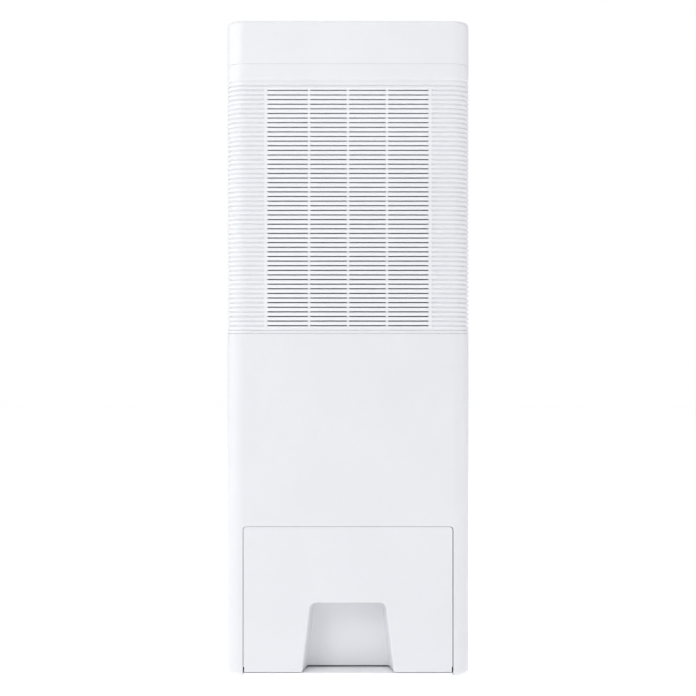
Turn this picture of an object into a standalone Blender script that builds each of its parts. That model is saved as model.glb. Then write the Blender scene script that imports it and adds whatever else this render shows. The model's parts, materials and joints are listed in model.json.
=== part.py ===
"""A slim tower dehumidifier, with its covers, water tank, refrigeration set, blower, outlet and controls.

The frame: +Z is up, -Y is the rear face, which holds the air intake and the water tank, and the
origin is on the floor under the middle of the tower. Every size and place below is in millimetres,
and MM turns it into Blender's metres where an object is made.
"""

import math

import bmesh
import bpy
from mathutils import Matrix, Vector

MM = 0.001
X, Y, Z = 0, 1, 2

# The tower
WIDTH = 244
DEPTH = 244
HEIGHT = 657
CORNER_R = 18
WALL = 2.5
FIT = 0.3  # between pieces that touch
SEAM = 0.6  # the gap that shows between two covers
FOOT_AT = 104
HALF_W = WIDTH / 2
HALF_D = DEPTH / 2
INNER_W = HALF_W - WALL
INNER_D = HALF_D - WALL

# Heights of the seams, from the floor up
SKIRT_Z = 1.5
BASE_TOP = 4.4
TANK_TOP = 150.5
DECK_Z = 172
DECK_TOP = 174
BAND_Z = 343.5
CAP_Z = 613.2
CAP_UNDERSIDE = HEIGHT - WALL
CAP_EDGE_R = 3.5

# The hand grips in the cap's sides
CUP_BACK = 95.5
CUP_HALF = 46
CUP_Z = (615, 641)
CUP_RIM = 4

# The front panel and the power inlet
FRONT_PANEL_HALF = 98
FRONT_PANEL_Z = (24, 592)
FRONT_PANEL_T = 1.4
INLET_Y = (76, 100)
INLET_Z = (30, 46)
INLET_END = -106

# The intake grille
COVER_Y = -82  # where the cover's side wraps end
RIB_PITCH = 4.617
SLOT_ROWS = 52
FIRST_SLOT_Z = 587.1
SLOT_H = 1.9
SLAT_DEPTH = 8.5
GRILLE_HALF = 80.5
GRILLE_MARGIN = 3
STRUT_PITCH = 39
STRUT_W = 2.5
FILTER_Y = (-109, -103)
FILTER_Z = (347.5, 590)
FILTER_HALF = 90
FILTER_RIM = 6

# The tank
PANEL_HALF = 104.7
PANEL_Z = 5.2
GRIP_TOP = 74.5
GRIP_FOOT_HALF = 46.1  # at the panel's foot
GRIP_FLARE = 0.124  # how much each side widens per millimetre down
GRIP_CORNER_R = 6.5
GRIP_DEPTH = 34
GRIP_WALL = 2
BUCKET_HALF = 97
BUCKET_END = 66
BUCKET_Z = 4.8
BUCKET_TOP = 104
BUCKET_WALL = 2
LID_TOP = 106.8
FUNNEL = (12, -62)
HANDLE_PIVOT = (0, -30, 111)
HANDLE_REACH = 36
HANDLE_R = 3
FLOAT_PIVOT = (58, 48, 96)

# The coils
COIL_HALF = 80
COIL_Z = (356, 594)
FIN_PITCH = 5
FIN_GAP = 3.6
EVAPORATOR_Y = (-80, -56)
CONDENSER_Y = (-51, -31)
BRACKET_T = 2
BENDS_A_SIDE = 4

# The drip tray and its drain
TRAY_HALF = 90
TRAY_Y = (-81, -29.4)
TRAY_Z = (338, 350)
TRAY_WALL = 2
DRAIN_FOOT = 154
DRAIN_R = 7
DRAIN_BORE = 5.4

# The compressor
COMPRESSOR = (-22, 8)
COMPRESSOR_R = 44
COMPRESSOR_Z = (186, 318)
FEET_REACH = 62
FEET_Z = (183, 185.6)
ACCUMULATOR = (56, 8)
ACCUMULATOR_R = 20
ACCUMULATOR_Z = (215, 290)
DRIER = (96, -20)
DRIER_Z = (230, 300)

# The blower
FAN_Z = 468
FAN_R = 74
CASING_R = 94
CASING_Y = (-26, 38)
CASING_WALL = 2
MOTOR_R = 36
MOTOR_LENGTH = 34
IMPELLER_Y = (-20, 26)
BLADES = 24
BLADE_LEAN = 28  # degrees
EYE_R = 64

# The outlet
DUCT_HALF = 80
DUCT_Y = 39
DUCT_Z = (606.3, 654.2)
DUCT_WALL = 2
GUARD_Z = (644.6, 646.4)
GUARD_BAR = 1.6
GUARD_COLUMNS = 6
GUARD_ROWS = 5
FLAP_PIVOT = (0, -31, 652)
FLAP_BARREL_R = 5
VANES = 5
VANE_PITCH = 31
VANE_PIVOT_Z = 641
VANE_ARM = 21
VANE_LINK_Y = (2.8, 4.8)
LINK_HALF = 66
LINK_Z = (615, 626.6)

# The controls
PANEL_RECESS = 1.4
BUTTON_R = 6.2
BUTTONS = {"power": -62, "mode": -42, "fan_speed": 42, "timer": 62}
CONTROLS_Y = 78
CONTROL_HALF = 82
CONTROL_DEPTH = 26  # from the buttons' line to each long edge
DISPLAY_HALF = 26
DISPLAY_DEPTH = 10
BOARD_Z = (647, 648.6)
ELECTRONICS_Z = (192, 320)

SMOOTH_ANGLE = 35  # degrees: an edge sharper than this stays sharp


# ---------------------------------------------------------------- scene and materials


def collection(name):
    made = bpy.data.collections.new(name)
    bpy.context.scene.collection.children.link(made)
    return made


def clear_scene():
    for obj in list(bpy.data.objects):
        bpy.data.objects.remove(obj, do_unlink=True)


def material(name, colour, roughness, metallic=0.0):
    made = bpy.data.materials.new(name)
    made.use_nodes = True
    shader = made.node_tree.nodes["Principled BSDF"]
    shader.inputs["Base Color"].default_value = (*colour, 1)
    shader.inputs["Roughness"].default_value = roughness
    shader.inputs["Metallic"].default_value = metallic
    made.diffuse_color = (*colour, 1)
    return made


clear_scene()
PARTS = collection("dehumidifier")
CUTTERS = collection("cutters")
WHITE = material("white_shell", (0.86, 0.87, 0.90), 0.42)
MILKY = material("milky_tank", (0.80, 0.84, 0.88), 0.30)
GREY = material("grey_moulding", (0.36, 0.37, 0.39), 0.55)
DARK = material("dark_gloss", (0.02, 0.02, 0.025), 0.15)
MESH_GREY = material("filter_net", (0.10, 0.09, 0.09), 0.80)
RUBBER = material("rubber", (0.05, 0.05, 0.05), 0.85)
BLACK_STEEL = material("black_steel", (0.03, 0.03, 0.032), 0.45, 0.6)
ALUMINIUM = material("coil_aluminium", (0.72, 0.73, 0.75), 0.38, 1.0)
COPPER = material("copper", (0.80, 0.42, 0.26), 0.30, 1.0)
ZINC = material("zinc_steel", (0.60, 0.61, 0.63), 0.40, 1.0)
BOARD = material("circuit_board", (0.05, 0.22, 0.10), 0.50)
FOAM = material("float_foam", (0.88, 0.86, 0.80), 0.75)


# ---------------------------------------------------------------- making objects


def place(obj, parent):
    """Hangs obj on the parent's empty and keeps it where it is."""
    if parent:
        obj.location -= parent.location
        obj.parent = parent
    return obj


def pivot(name, point):
    """An empty on a joint's axis, which the moving pieces hang on."""
    empty = bpy.data.objects.new(name, None)
    empty.location = Vector(point) * MM
    empty.empty_display_size = 20 * MM
    PARTS.objects.link(empty)
    return empty


def add(name, mesh, mat, at=(0, 0, 0), parent=None):
    """A part, or a helper that isn't one where mat is None."""
    obj = bpy.data.objects.new(name, mesh)
    obj.location = Vector(at) * MM
    if mat is None:
        CUTTERS.objects.link(obj)
        obj.hide_render = True
        obj.display_type = "WIRE"
    else:
        PARTS.objects.link(obj)
        mesh.materials.append(mat)
    return place(obj, parent)


def mesh_of(bm, name):
    mesh = bpy.data.meshes.new(name)
    bm.to_mesh(mesh)
    bm.free()
    mesh.shade_smooth()
    mesh.set_sharp_from_angle(angle=math.radians(SMOOTH_ANGLE))
    return mesh


def along(edge, axis):
    return abs((edge.verts[1].co - edge.verts[0].co).normalized()[axis]) > 0.99


def cube(low, high, about=(0, 0, 0)):
    """A box between two corners, as a bmesh in metres about a point."""
    low, high, about = Vector(low), Vector(high), Vector(about)
    size = high - low
    bm = bmesh.new()
    bmesh.ops.create_cube(bm, size=1)
    bmesh.ops.scale(bm, vec=size * MM, verts=bm.verts)
    bmesh.ops.translate(bm, vec=((low + high) / 2 - about) * MM, verts=bm.verts)
    return bm


def bevel(bm, edges, radius, segments):
    bmesh.ops.bevel(bm, geom=edges, offset=radius * MM, segments=segments, profile=0.5, affect="EDGES")


def box(name, low, high, mat=None, radius=0, axis=Z, segments=5, parent=None, only=None):
    """A box part whose edges along one axis are rounded, or only those that the test picks."""
    middle = (Vector(low) + Vector(high)) / 2
    bm = cube(low, high, middle)
    if radius:
        edges = [e for e in bm.edges if along(e, axis)]
        if only:
            edges = [e for e in edges if only((e.verts[0].co + e.verts[1].co) / 2)]
        bevel(bm, edges, radius, segments)
    return add(name, mesh_of(bm, name), mat, middle, parent)


def turn_onto(axis):
    """Turns a shape that stands along Z to lie along another axis."""
    if axis == X:
        return Matrix.Rotation(math.pi / 2, 3, "Y")
    if axis == Y:
        return Matrix.Rotation(-math.pi / 2, 3, "X")
    return Matrix.Identity(3)


def cylinder(low, length, radius, axis=Z, sides=24, about=(0, 0, 0)):
    """A cylinder that starts at a point and runs along an axis, as a bmesh."""
    r = radius * MM
    bm = bmesh.new()
    bmesh.ops.create_cone(bm, cap_ends=True, segments=sides, radius1=r, radius2=r, depth=length * MM)
    bmesh.ops.translate(bm, vec=(0, 0, length * MM / 2), verts=bm.verts)
    bmesh.ops.rotate(bm, cent=(0, 0, 0), matrix=turn_onto(axis), verts=bm.verts)
    bmesh.ops.translate(bm, vec=(Vector(low) - Vector(about)) * MM, verts=bm.verts)
    return bm


def rod(name, low, length, radius, mat=None, axis=Z, sides=24, parent=None):
    return add(name, mesh_of(cylinder(low, length, radius, axis, sides, low), name), mat, low, parent)


def together(name, shapes):
    """Several separate shapes as one helper, for a Boolean that takes them all at once."""
    whole = bmesh.new()
    for shape in shapes:
        part = bpy.data.meshes.new(name)
        shape.to_mesh(part)
        shape.free()
        whole.from_mesh(part)
        bpy.data.meshes.remove(part)
    return add(name, mesh_of(whole, name), None)


def boolean(obj, other, operation):
    modifier = obj.modifiers.new(other.name, "BOOLEAN")
    modifier.object = other
    modifier.operation = operation
    return obj


def cut(obj, *others):
    for other in others:
        boolean(obj, other, "DIFFERENCE")
    return obj


def join(obj, *others):
    for other in others:
        boolean(obj, other, "UNION")
    return obj


def turned(name, profile, mat, at, steps=28, parent=None):
    """A solid of revolution about Z. The profile is (radius, height) from the top down to the foot."""
    mesh = bpy.data.meshes.new(name)
    line = [(i, i + 1) for i in range(len(profile) - 1)]
    mesh.from_pydata([(r * MM, 0, z * MM) for r, z in profile], line, [])
    obj = add(name, mesh, mat, at, parent)
    screw = obj.modifiers.new("turn", "SCREW")
    screw.steps = screw.render_steps = steps
    screw.use_merge_vertices = True
    screw.merge_threshold = 0.00001
    screw.use_smooth_shade = True
    return obj


def arc(centre, radius, start, end, steps):
    """Points of an arc in a plane, from one angle to another in degrees."""
    angles = [math.radians(start + (end - start) * i / steps) for i in range(steps + 1)]
    return [(centre[0] + radius * math.cos(a), centre[1] + radius * math.sin(a)) for a in angles]


def plate(name, outline, depth_from, depth_to, axis=Y, mat=None, parent=None):
    """A flat outline with thickness. The outline is in XZ for a plate across Y and in XY for one across Z."""
    curve = bpy.data.curves.new(name, "CURVE")
    curve.dimensions = "2D"
    curve.fill_mode = "BOTH"
    curve.extrude = (depth_to - depth_from) / 2 * MM
    spline = curve.splines.new("POLY")
    spline.use_cyclic_u = True
    spline.points.add(len(outline) - 1)
    for point, (u, v) in zip(spline.points, outline):
        point.co = (u * MM, v * MM, 0, 1)
    flat = bpy.data.objects.new(name, curve)
    bpy.context.scene.collection.objects.link(flat)
    bpy.context.view_layer.update()
    mesh = bpy.data.meshes.new_from_object(flat.evaluated_get(bpy.context.evaluated_depsgraph_get()))
    bpy.data.objects.remove(flat)
    bpy.data.curves.remove(curve)
    bm = bmesh.new()
    bm.from_mesh(mesh)
    bpy.data.meshes.remove(mesh)
    bmesh.ops.remove_doubles(bm, verts=bm.verts, dist=0.00001)
    if axis == Y:
        bmesh.ops.rotate(bm, cent=(0, 0, 0), matrix=Matrix.Rotation(math.pi / 2, 3, "X"), verts=bm.verts)
    bmesh.ops.recalc_face_normals(bm, faces=bm.faces)
    middle = [0, 0, 0]
    middle[axis] = (depth_from + depth_to) / 2
    return add(name, mesh_of(bm, name), mat, middle, parent)


def bent_path(corners, radius, steps=3):
    """The corners of a pipe's route, each replaced by a bend of the given radius."""
    corners = [Vector(c) for c in corners]
    points = [corners[0]]
    for before, corner, after in zip(corners, corners[1:], corners[2:]):
        into, out = (corner - before).normalized(), (after - corner).normalized()
        turn = into.angle(out)
        reach = radius * math.tan(turn / 2)
        start = corner - into * reach
        towards = (out - into * into.dot(out)).normalized()
        centre = start + towards * radius
        for i in range(steps + 1):
            a = turn * i / steps
            points.append(centre - towards * radius * math.cos(a) + into * radius * math.sin(a))
    return [*points, corners[-1]]


def pipe(name, points, radius, mat, parent=None, resolution=2):
    """A round tube or wire along a route."""
    curve = bpy.data.curves.new(name, "CURVE")
    curve.dimensions = "3D"
    curve.bevel_depth = radius * MM
    curve.bevel_resolution = resolution
    curve.use_fill_caps = True
    spline = curve.splines.new("POLY")
    spline.points.add(len(points) - 1)
    origin = Vector(points[0])
    for point, where in zip(spline.points, points):
        point.co = (*((Vector(where) - origin) * MM), 1)
    obj = bpy.data.objects.new(name, curve)
    obj.location = origin * MM
    PARTS.objects.link(obj)
    curve.materials.append(mat)
    return place(obj, parent)


# ---------------------------------------------------------------- base and housings


def base():
    low = (-INNER_W + FIT, -INNER_D + FIT, SKIRT_Z + FIT)
    high = (INNER_W - FIT, INNER_D - FIT, BASE_TOP)
    pan = box("base_pan", low, high, WHITE, CORNER_R - WALL)
    sill = box("base_sill", (-PANEL_HALF, -HALF_D, SKIRT_Z + FIT), (PANEL_HALF, -INNER_D + 10, BASE_TOP))
    join(pan, sill)
    studs = []
    for across, side in ((-1, "left"), (1, "right")):
        for deep, end in ((-1, "rear"), (1, "front")):
            at = (across * FOOT_AT, deep * FOOT_AT, 0)
            studs.append(cylinder((at[0], at[1], 0), 10, 3 + FIT, sides=16))
            profile = [(0, 6.4), (2, 6.4), (3, 5.4), (3, 1.5), (8, 1.5), (8, 0.6), (7.4, 0), (0, 0)]
            turned(f"foot_{end}_{side}", profile, RUBBER, at, steps=12)
    cut(pan, together("foot_holes", studs))


def u_shell(name, face_y, open_y, low_z, high_z):
    """Half of the tower's wall: a sheet from one side round the face to the other side, with thickness."""
    inward = math.copysign(1, open_y - face_y)
    corner_y = face_y + inward * CORNER_R
    corner_x = HALF_W - CORNER_R
    turn = arc((0, 0), CORNER_R, 0, 90, 6)
    right = [(corner_x + u, corner_y - inward * v) for u, v in turn]
    path = [(HALF_W, open_y), *right, *[(-x, y) for x, y in reversed(right)], (-HALF_W, open_y)]
    if inward < 0:
        path.reverse()
    bm = bmesh.new()
    verts = [bm.verts.new((x * MM, y * MM, low_z * MM)) for x, y in path]
    edges = [bm.edges.new(pair) for pair in zip(verts, verts[1:])]
    raised = bmesh.ops.extrude_edge_only(bm, edges=edges)["geom"]
    tops = [v for v in raised if isinstance(v, bmesh.types.BMVert)]
    bmesh.ops.translate(bm, vec=(0, 0, (high_z - low_z) * MM), verts=tops)
    shell = add(name, mesh_of(bm, name), WHITE)
    solidify = shell.modifiers.new("wall", "SOLIDIFY")
    solidify.thickness = WALL * MM
    solidify.offset = -1
    solidify.use_even_offset = True
    return shell


def housings():
    rear = u_shell("rear_housing", -HALF_D, -SEAM / 2, SKIRT_Z, CAP_Z)
    opening_half = PANEL_HALF + SEAM
    cut(
        rear,
        box("tank_opening", (-opening_half, -200, -10), (opening_half, -90, TANK_TOP + SEAM)),
        box("cover_step", (-200, -200, BAND_Z), (200, COVER_Y + SEAM / 2, 700)),
    )
    front = u_shell("front_housing", HALF_D, SEAM / 2, SKIRT_Z, CAP_Z)
    foot, top = FRONT_PANEL_Z
    panel_low = (-FRONT_PANEL_HALF, HALF_D - FRONT_PANEL_T, foot)
    panel_high = (FRONT_PANEL_HALF, HALF_D, top)
    recess = Vector((SEAM, FIT, SEAM))
    box("front_panel", panel_low, panel_high, WHITE, 6, Y, 4)
    cut(
        front,
        box("panel_recess", Vector(panel_low) - recess, Vector(panel_high) + recess, None, 6.5, Y, 4),
        box("inlet_hole", (-200, INLET_Y[0], INLET_Z[0]), (-100, INLET_Y[1], INLET_Z[1]), None, 3, X, 3),
    )


def power_inlet():
    """A two-pin appliance inlet, which faces out of the left side."""
    (near, far), (foot, top) = INLET_Y, INLET_Z
    rim = 2.5
    low, high = (-HALF_W, near + FIT, foot + FIT), (INLET_END, far - FIT, top - FIT)
    inlet = box("power_inlet", low, high, GREY, 2.6, X, 3)
    low, high = (-200, near + rim, foot + rim), (INLET_END - 2, far - rim, top - rim)
    cut(inlet, box("inlet_socket", low, high, None, 2, X, 3))
    middle_y, middle_z = (near + far) / 2, (foot + top) / 2
    pins = [cylinder((-116, middle_y + side, middle_z), 9, 1.2, X, 12) for side in (-4, 4)]
    join(inlet, together("inlet_pins", pins))


def top_cover():
    """The cap over the tower, with the outlet, the control recess and a hand grip in each side."""
    cap = box("top_cover", (-HALF_W, -HALF_D, CAP_Z + SEAM), (HALF_W, HALF_D, HEIGHT), WHITE, CORNER_R, Z, 6)
    bm = bmesh.new()
    bm.from_mesh(cap.data)
    top = max(v.co.z for v in bm.verts)
    rim = [e for e in bm.edges if all(v.co.z > top - 0.00001 for v in e.verts)]
    bevel(bm, rim, CAP_EDGE_R, 3)
    bm.to_mesh(cap.data)
    bm.free()
    inner_low, inner_high = (-INNER_W, -INNER_D, 600), (INNER_W, INNER_D, CAP_UNDERSIDE)
    hollow = box("cap_hollow", inner_low, inner_high, None, CORNER_R - WALL, Z, 6)
    outlet = box("outlet_opening", (-78.3, -36.6, 640), (78.3, 37.2, 700))
    low = (-CONTROL_HALF, CONTROLS_Y - CONTROL_DEPTH, HEIGHT - PANEL_RECESS)
    recess = box("control_recess", low, (CONTROL_HALF, CONTROLS_Y + CONTROL_DEPTH, 700), None, 5, Z, 4)
    holes = [cylinder((x, CONTROLS_Y, 640), 30, BUTTON_R + FIT) for x in BUTTONS.values()]
    cut(cap, hollow, outlet, recess, together("button_holes", holes))
    for side, sign in (("left", -1), ("right", 1)):
        cup_xs = sorted((sign * CUP_BACK, sign * (INNER_W - FIT)))
        hand_xs = sorted((sign * (CUP_BACK + 1.8), sign * 200))
        foot, top = CUP_Z
        low, high = (cup_xs[0], -CUP_HALF, foot), (cup_xs[1], CUP_HALF, top)
        cup = box(f"grip_cup_{side}", low, high, WHITE, 6, X, 3)
        hand_low = (hand_xs[0], -CUP_HALF + CUP_RIM, foot + CUP_RIM)
        hand_high = (hand_xs[1], CUP_HALF - CUP_RIM, top - CUP_RIM)
        hand = box(f"grip_pocket_{side}", hand_low, hand_high, None, 6, X, 3)
        cut(cup, hand)
        cut(cap, hand)


def deck():
    """The shelf over the tank bay, which carries the compressor."""
    edge = INNER_W - FIT
    shelf = box("compressor_deck", (-edge, -edge, DECK_Z), (edge, edge, DECK_TOP), ZINC, CORNER_R - WALL)
    cut(shelf, rod("drain_hole", (*FUNNEL, 150), 40, DRAIN_R + 1.5))


# ---------------------------------------------------------------- intake


def slot_columns():
    """The left and right edge of each of the four columns of slots."""
    edges = [-GRILLE_HALF, *(STRUT_PITCH * i for i in (-1, 0, 1)), GRILLE_HALF]
    gaps = []
    for i, (left, right) in enumerate(zip(edges, edges[1:])):
        gaps.append((left + (STRUT_W / 2 if i > 0 else 0), right - (STRUT_W / 2 if i < 3 else 0)))
    return gaps


def intake(parent):
    """The ribbed cover, open through its slots, and the filter that clips into it."""
    low, high = (-HALF_W, -HALF_D, BAND_Z + SEAM), (HALF_W, COVER_Y - SEAM / 2, CAP_Z)
    at_the_rear = lambda middle: middle.y < 0
    cover = box("intake_cover", low, high, WHITE, CORNER_R, Z, 6, parent, at_the_rear)
    low = (-INNER_W, -INNER_D, BAND_Z + SEAM + WALL)
    high = (INNER_W, COVER_Y + 60, CAP_Z - WALL)
    hollow = box("cover_hollow", low, high, None, CORNER_R - WALL, Z, 6, None, at_the_rear)
    last_slot_z = FIRST_SLOT_Z - RIB_PITCH * (SLOT_ROWS - 1)
    low = (-GRILLE_HALF - GRILLE_MARGIN, -HALF_D + 1, last_slot_z - GRILLE_MARGIN)
    high = (GRILLE_HALF + GRILLE_MARGIN, -HALF_D + SLAT_DEPTH, FIRST_SLOT_Z + GRILLE_MARGIN)
    grille = box("grille_block", low, high)
    slots = []
    for row in range(SLOT_ROWS):
        z = FIRST_SLOT_Z - row * RIB_PITCH
        for left, right in slot_columns():
            slots.append(cube((left, -130, z - SLOT_H / 2), (right, -100, z + SLOT_H / 2)))
    cut(join(cut(cover, hollow), grille), together("slots", slots))
    dust_filter(parent)


def dust_filter(parent):
    """A rim with two bars and a pull tab, and the net that it holds."""
    near, far = FILTER_Y
    foot, top = FILTER_Z
    inner_half, inner_foot, inner_top = FILTER_HALF - FILTER_RIM, foot + FILTER_RIM, top - FILTER_RIM
    frame = box("filter_frame", (-FILTER_HALF, near, foot), (FILTER_HALF, far, top), GREY, 4, Y, 3, parent)
    low, high = (-inner_half, near - 5, inner_foot), (inner_half, far + 5, inner_top)
    window = box("filter_window", low, high, None, 3, Y, 2)
    bars = [cube((x - 1.5, near + 1, foot + 3), (x + 1.5, near + 2, top - 3)) for x in (-28, 28)]
    tab = box("filter_tab", (-14, near + 1.5, top - 2), (14, near + 3.5, top + 8))
    join(cut(frame, window), together("filter_bars", bars), tab)
    low = (-inner_half + FIT, near + 2.6, inner_foot + FIT)
    high = (inner_half - FIT, near + 3.4, inner_top - FIT)
    box("filter_net", low, high, MESH_GREY, 3, Y, 2, parent)


# ---------------------------------------------------------------- water tank


def grip_outline(grow, foot_z):
    """The finger grip's outline in the tank's panel: narrower at the top, with two round corners."""
    top, r = GRIP_TOP + grow, GRIP_CORNER_R + grow
    foot_half = GRIP_FOOT_HALF + grow + GRIP_FLARE * (PANEL_Z - foot_z)
    shoulder_half = GRIP_FOOT_HALF + grow - GRIP_FLARE * (top - r - PANEL_Z)
    right = arc((shoulder_half - r, top - r), r, 0, 90, 5)
    return [(-foot_half, foot_z), (foot_half, foot_z), *right, *[(-x, z) for x, z in reversed(right)]]


def tank(parent):
    panel = box("tank_front", (-PANEL_HALF, -HALF_D, PANEL_Z), (PANEL_HALF, -INNER_D, TANK_TOP), WHITE,
                3.3, Y, 3, parent, lambda middle: middle.z > 0)
    back = -HALF_D + GRIP_DEPTH
    join(panel, plate("grip_wall", grip_outline(GRIP_WALL, PANEL_Z), -INNER_D - 1, back + GRIP_WALL))
    cut(panel, plate("grip_hollow", grip_outline(0, -20), -140, back))

    low, high = (-BUCKET_HALF, -INNER_D + FIT, BUCKET_Z), (BUCKET_HALF, BUCKET_END, BUCKET_TOP)
    bucket = box("tank_bucket", low, high, MILKY, 10, Z, 4, parent)
    inside = Vector((BUCKET_WALL, BUCKET_WALL, BUCKET_WALL))
    clear = GRIP_WALL + 1
    notch_half, notch_top, notch_back = GRIP_FOOT_HALF + clear, GRIP_TOP + clear, back + clear
    notch = box("bucket_notch", (-notch_half, -140, -20), (notch_half, notch_back, notch_top))
    inner_low, inner_high = Vector(low) + inside, Vector(high) - inside
    inner_high.z = BUCKET_TOP + 20
    hollow = box("bucket_hollow", inner_low, inner_high, None, 8, Z, 4)
    island = box(
        "hollow_notch",
        (-notch_half - BUCKET_WALL, -150, -30),
        (notch_half + BUCKET_WALL, notch_back + BUCKET_WALL, notch_top + BUCKET_WALL),
    )
    cut(bucket, notch, cut(hollow, island))
    lid(parent)


def lid(parent):
    """The tank's lid, with its funnel hole, the ears of the handle and the ears of the float."""
    low = (-BUCKET_HALF, -INNER_D + FIT, BUCKET_TOP + FIT)
    top = box("tank_lid", low, (BUCKET_HALF, BUCKET_END, LID_TOP), WHITE, 10, Z, 4, parent)
    _, handle_y, handle_z = HANDLE_PIVOT
    float_x, float_y, float_z = FLOAT_PIVOT
    ears = []
    for x in (-94.2, 94.2):
        ears.append(cube((x - 1.5, handle_y - 7, LID_TOP - 1), (x + 1.5, handle_y + 7, handle_z + 6)))
    for x in (float_x - 9, float_x + 9):
        ears.append(cube((x - 1, float_y - 4, float_z - 4), (x + 1, float_y + 4, BUCKET_TOP + 1)))
    holes = [
        cylinder((-120, handle_y, handle_z), 240, HANDLE_R + 0.4, X, 20),
        cylinder((float_x - 15, float_y, float_z), 30, 2, X, 16),
        cylinder((*FUNNEL, 100), 30, 12),
    ]
    cut(join(top, together("lid_ears", ears)), together("lid_holes", holes))


def handle(parent):
    _, y, z = HANDLE_PIVOT
    end, side = 97.6, 89.5
    bar_y = y + HANDLE_REACH
    left = [(-end, y, z), (-side, y, z), (-side, bar_y, z)]
    corners = left + [(-x, *rest) for x, *rest in reversed(left)]
    pipe("tank_handle", bent_path(corners, 3.2, 3), HANDLE_R, GREY, parent, 3)


def tank_float(parent):
    """A foam float on an arm, which rises with the water."""
    x, y, z = FLOAT_PIVOT
    body = box("float_arm", (x - 13, y - 50, z - 34), (x + 13, y - 18, z - 18), FOAM, 4, X, 2, parent)
    outline = [(y - 36, z - 20), (y - 28, z - 20), (y + 3, z - 3), (y + 3, z + 3), (y - 3, z + 3)]
    arm = plate("float_lever", outline, -3, 3, Z)
    arm.rotation_euler = (math.pi / 2, 0, math.pi / 2)
    arm.location = Vector((x, 0, 0)) * MM
    pin = rod("float_pin", (x - 11.5, y, z), 23, 1.5, axis=X, sides=14)
    join(body, arm, pin)


# ---------------------------------------------------------------- refrigeration set


def coils():
    """Two finned blocks in line with the intake, and the end plates with the ends of their tubes."""
    foot, top = COIL_Z
    middle = (foot + top) / 2
    fins = round(2 * COIL_HALF / FIN_PITCH) - 1
    for name, (near, far) in (("evaporator_coil", EVAPORATOR_Y), ("condenser_coil", CONDENSER_Y)):
        block = box(name, (-COIL_HALF, near, foot), (COIL_HALF, far, top), ALUMINIUM)
        gaps = []
        for i in range(fins):
            x = FIN_PITCH * (i - (fins - 1) / 2)
            for low_z, high_z in ((foot + 3, middle - 3), (middle + 3, top - 3)):
                gaps.append(cube((x - FIN_GAP / 2, near - 5, low_z), (x + FIN_GAP / 2, far + 5, high_z)))
        cut(block, together(f"{name}_gaps", gaps))
    for side, sign in (("left", -1), ("right", 1)):
        xs = sorted((sign * (COIL_HALF + FIT), sign * (COIL_HALF + FIT + BRACKET_T)))
        near, far = EVAPORATOR_Y[0] - 1, CONDENSER_Y[1] + 1
        bracket = box(f"coil_bracket_{side}", (xs[0], near, foot - 4), (xs[1], far, top + 2), ZINC)
        start = min(sign * (COIL_HALF + 1), sign * (COIL_HALF + 9))
        bends = []
        for near, far in (EVAPORATOR_Y, CONDENSER_Y):
            for row in range(BENDS_A_SIDE):
                z = foot + 34 + 50 * row + (25 if side == "left" else 0)
                bends.append(cylinder((start, (near + far) / 2, z), 8, 4, X, 10))
        join(bracket, together(f"coil_bends_{side}", bends))


def drip_tray():
    (near, far), (foot, top) = TRAY_Y, TRAY_Z
    tray = box("drip_tray", (-TRAY_HALF, near, foot), (TRAY_HALF, far, top), GREY, 5, Z, 3)
    low = (-TRAY_HALF + TRAY_WALL, near + TRAY_WALL, foot + TRAY_WALL)
    cut(tray, box("tray_hollow", low, (TRAY_HALF - TRAY_WALL, far - TRAY_WALL, 360), None, 4, Z, 3))
    cut(tray, rod("tray_drain", (*FUNNEL, 330), 20, DRAIN_BORE - 0.4, sides=16))
    top, foot, bore = TRAY_Z[0] - FIT, DRAIN_FOOT, DRAIN_BORE
    wall = [(DRAIN_R, top), (DRAIN_R, foot), (bore, foot), (bore, top), (DRAIN_R, top)]
    turned("drain_tube", wall, GREY, (*FUNNEL, 0), steps=16)


def compressor():
    x, y = COMPRESSOR
    r, (foot, top) = COMPRESSOR_R, COMPRESSOR_Z
    quarter = [(math.sin(math.radians(a)), math.cos(math.radians(a))) for a in (0, 30, 60, 90)]
    dome = [(r * u, top - 16 + 16 * v) for u, v in quarter]
    heel = [(r * u, foot + 12 - 12 * v) for u, v in reversed(quarter)]
    weld = [(r, 262), (r + 1.5, 260), (r + 1.5, 254), (r, 252)]
    turned("compressor", [*dome, *weld, *heel], BLACK_STEEL, (x, y, 0), steps=32)
    outline = []
    for i in range(3):
        lobe = 90 + 120 * i
        centre = (FEET_REACH * math.cos(math.radians(lobe)), FEET_REACH * math.sin(math.radians(lobe)))
        outline += arc(centre, 12, lobe - 60, lobe + 60, 5)
        at = (x + centre[0], y + centre[1], 0)
        foot = DECK_TOP + FIT
        profile = [(0, 182.6), (7, 182.6), (9, 180), (7, 178.5), (9, 177), (9, foot), (0, foot)]
        turned(f"compressor_mount_{i + 1}", profile, RUBBER, at, steps=12)
    plate("compressor_feet", [(x + u, y + v) for u, v in outline], *FEET_Z, Z, BLACK_STEEL)
    x, y = ACCUMULATOR
    foot, top = ACCUMULATOR_Z
    cap = [(ACCUMULATOR_R * math.sin(math.radians(a)), 10 * math.cos(math.radians(a))) for a in (0, 45, 90)]
    profile = [(r, top + rise) for r, rise in cap] + [(r, foot - rise) for r, rise in reversed(cap)]
    turned("accumulator", profile, BLACK_STEEL, (x, y, 0), steps=20)


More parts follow.
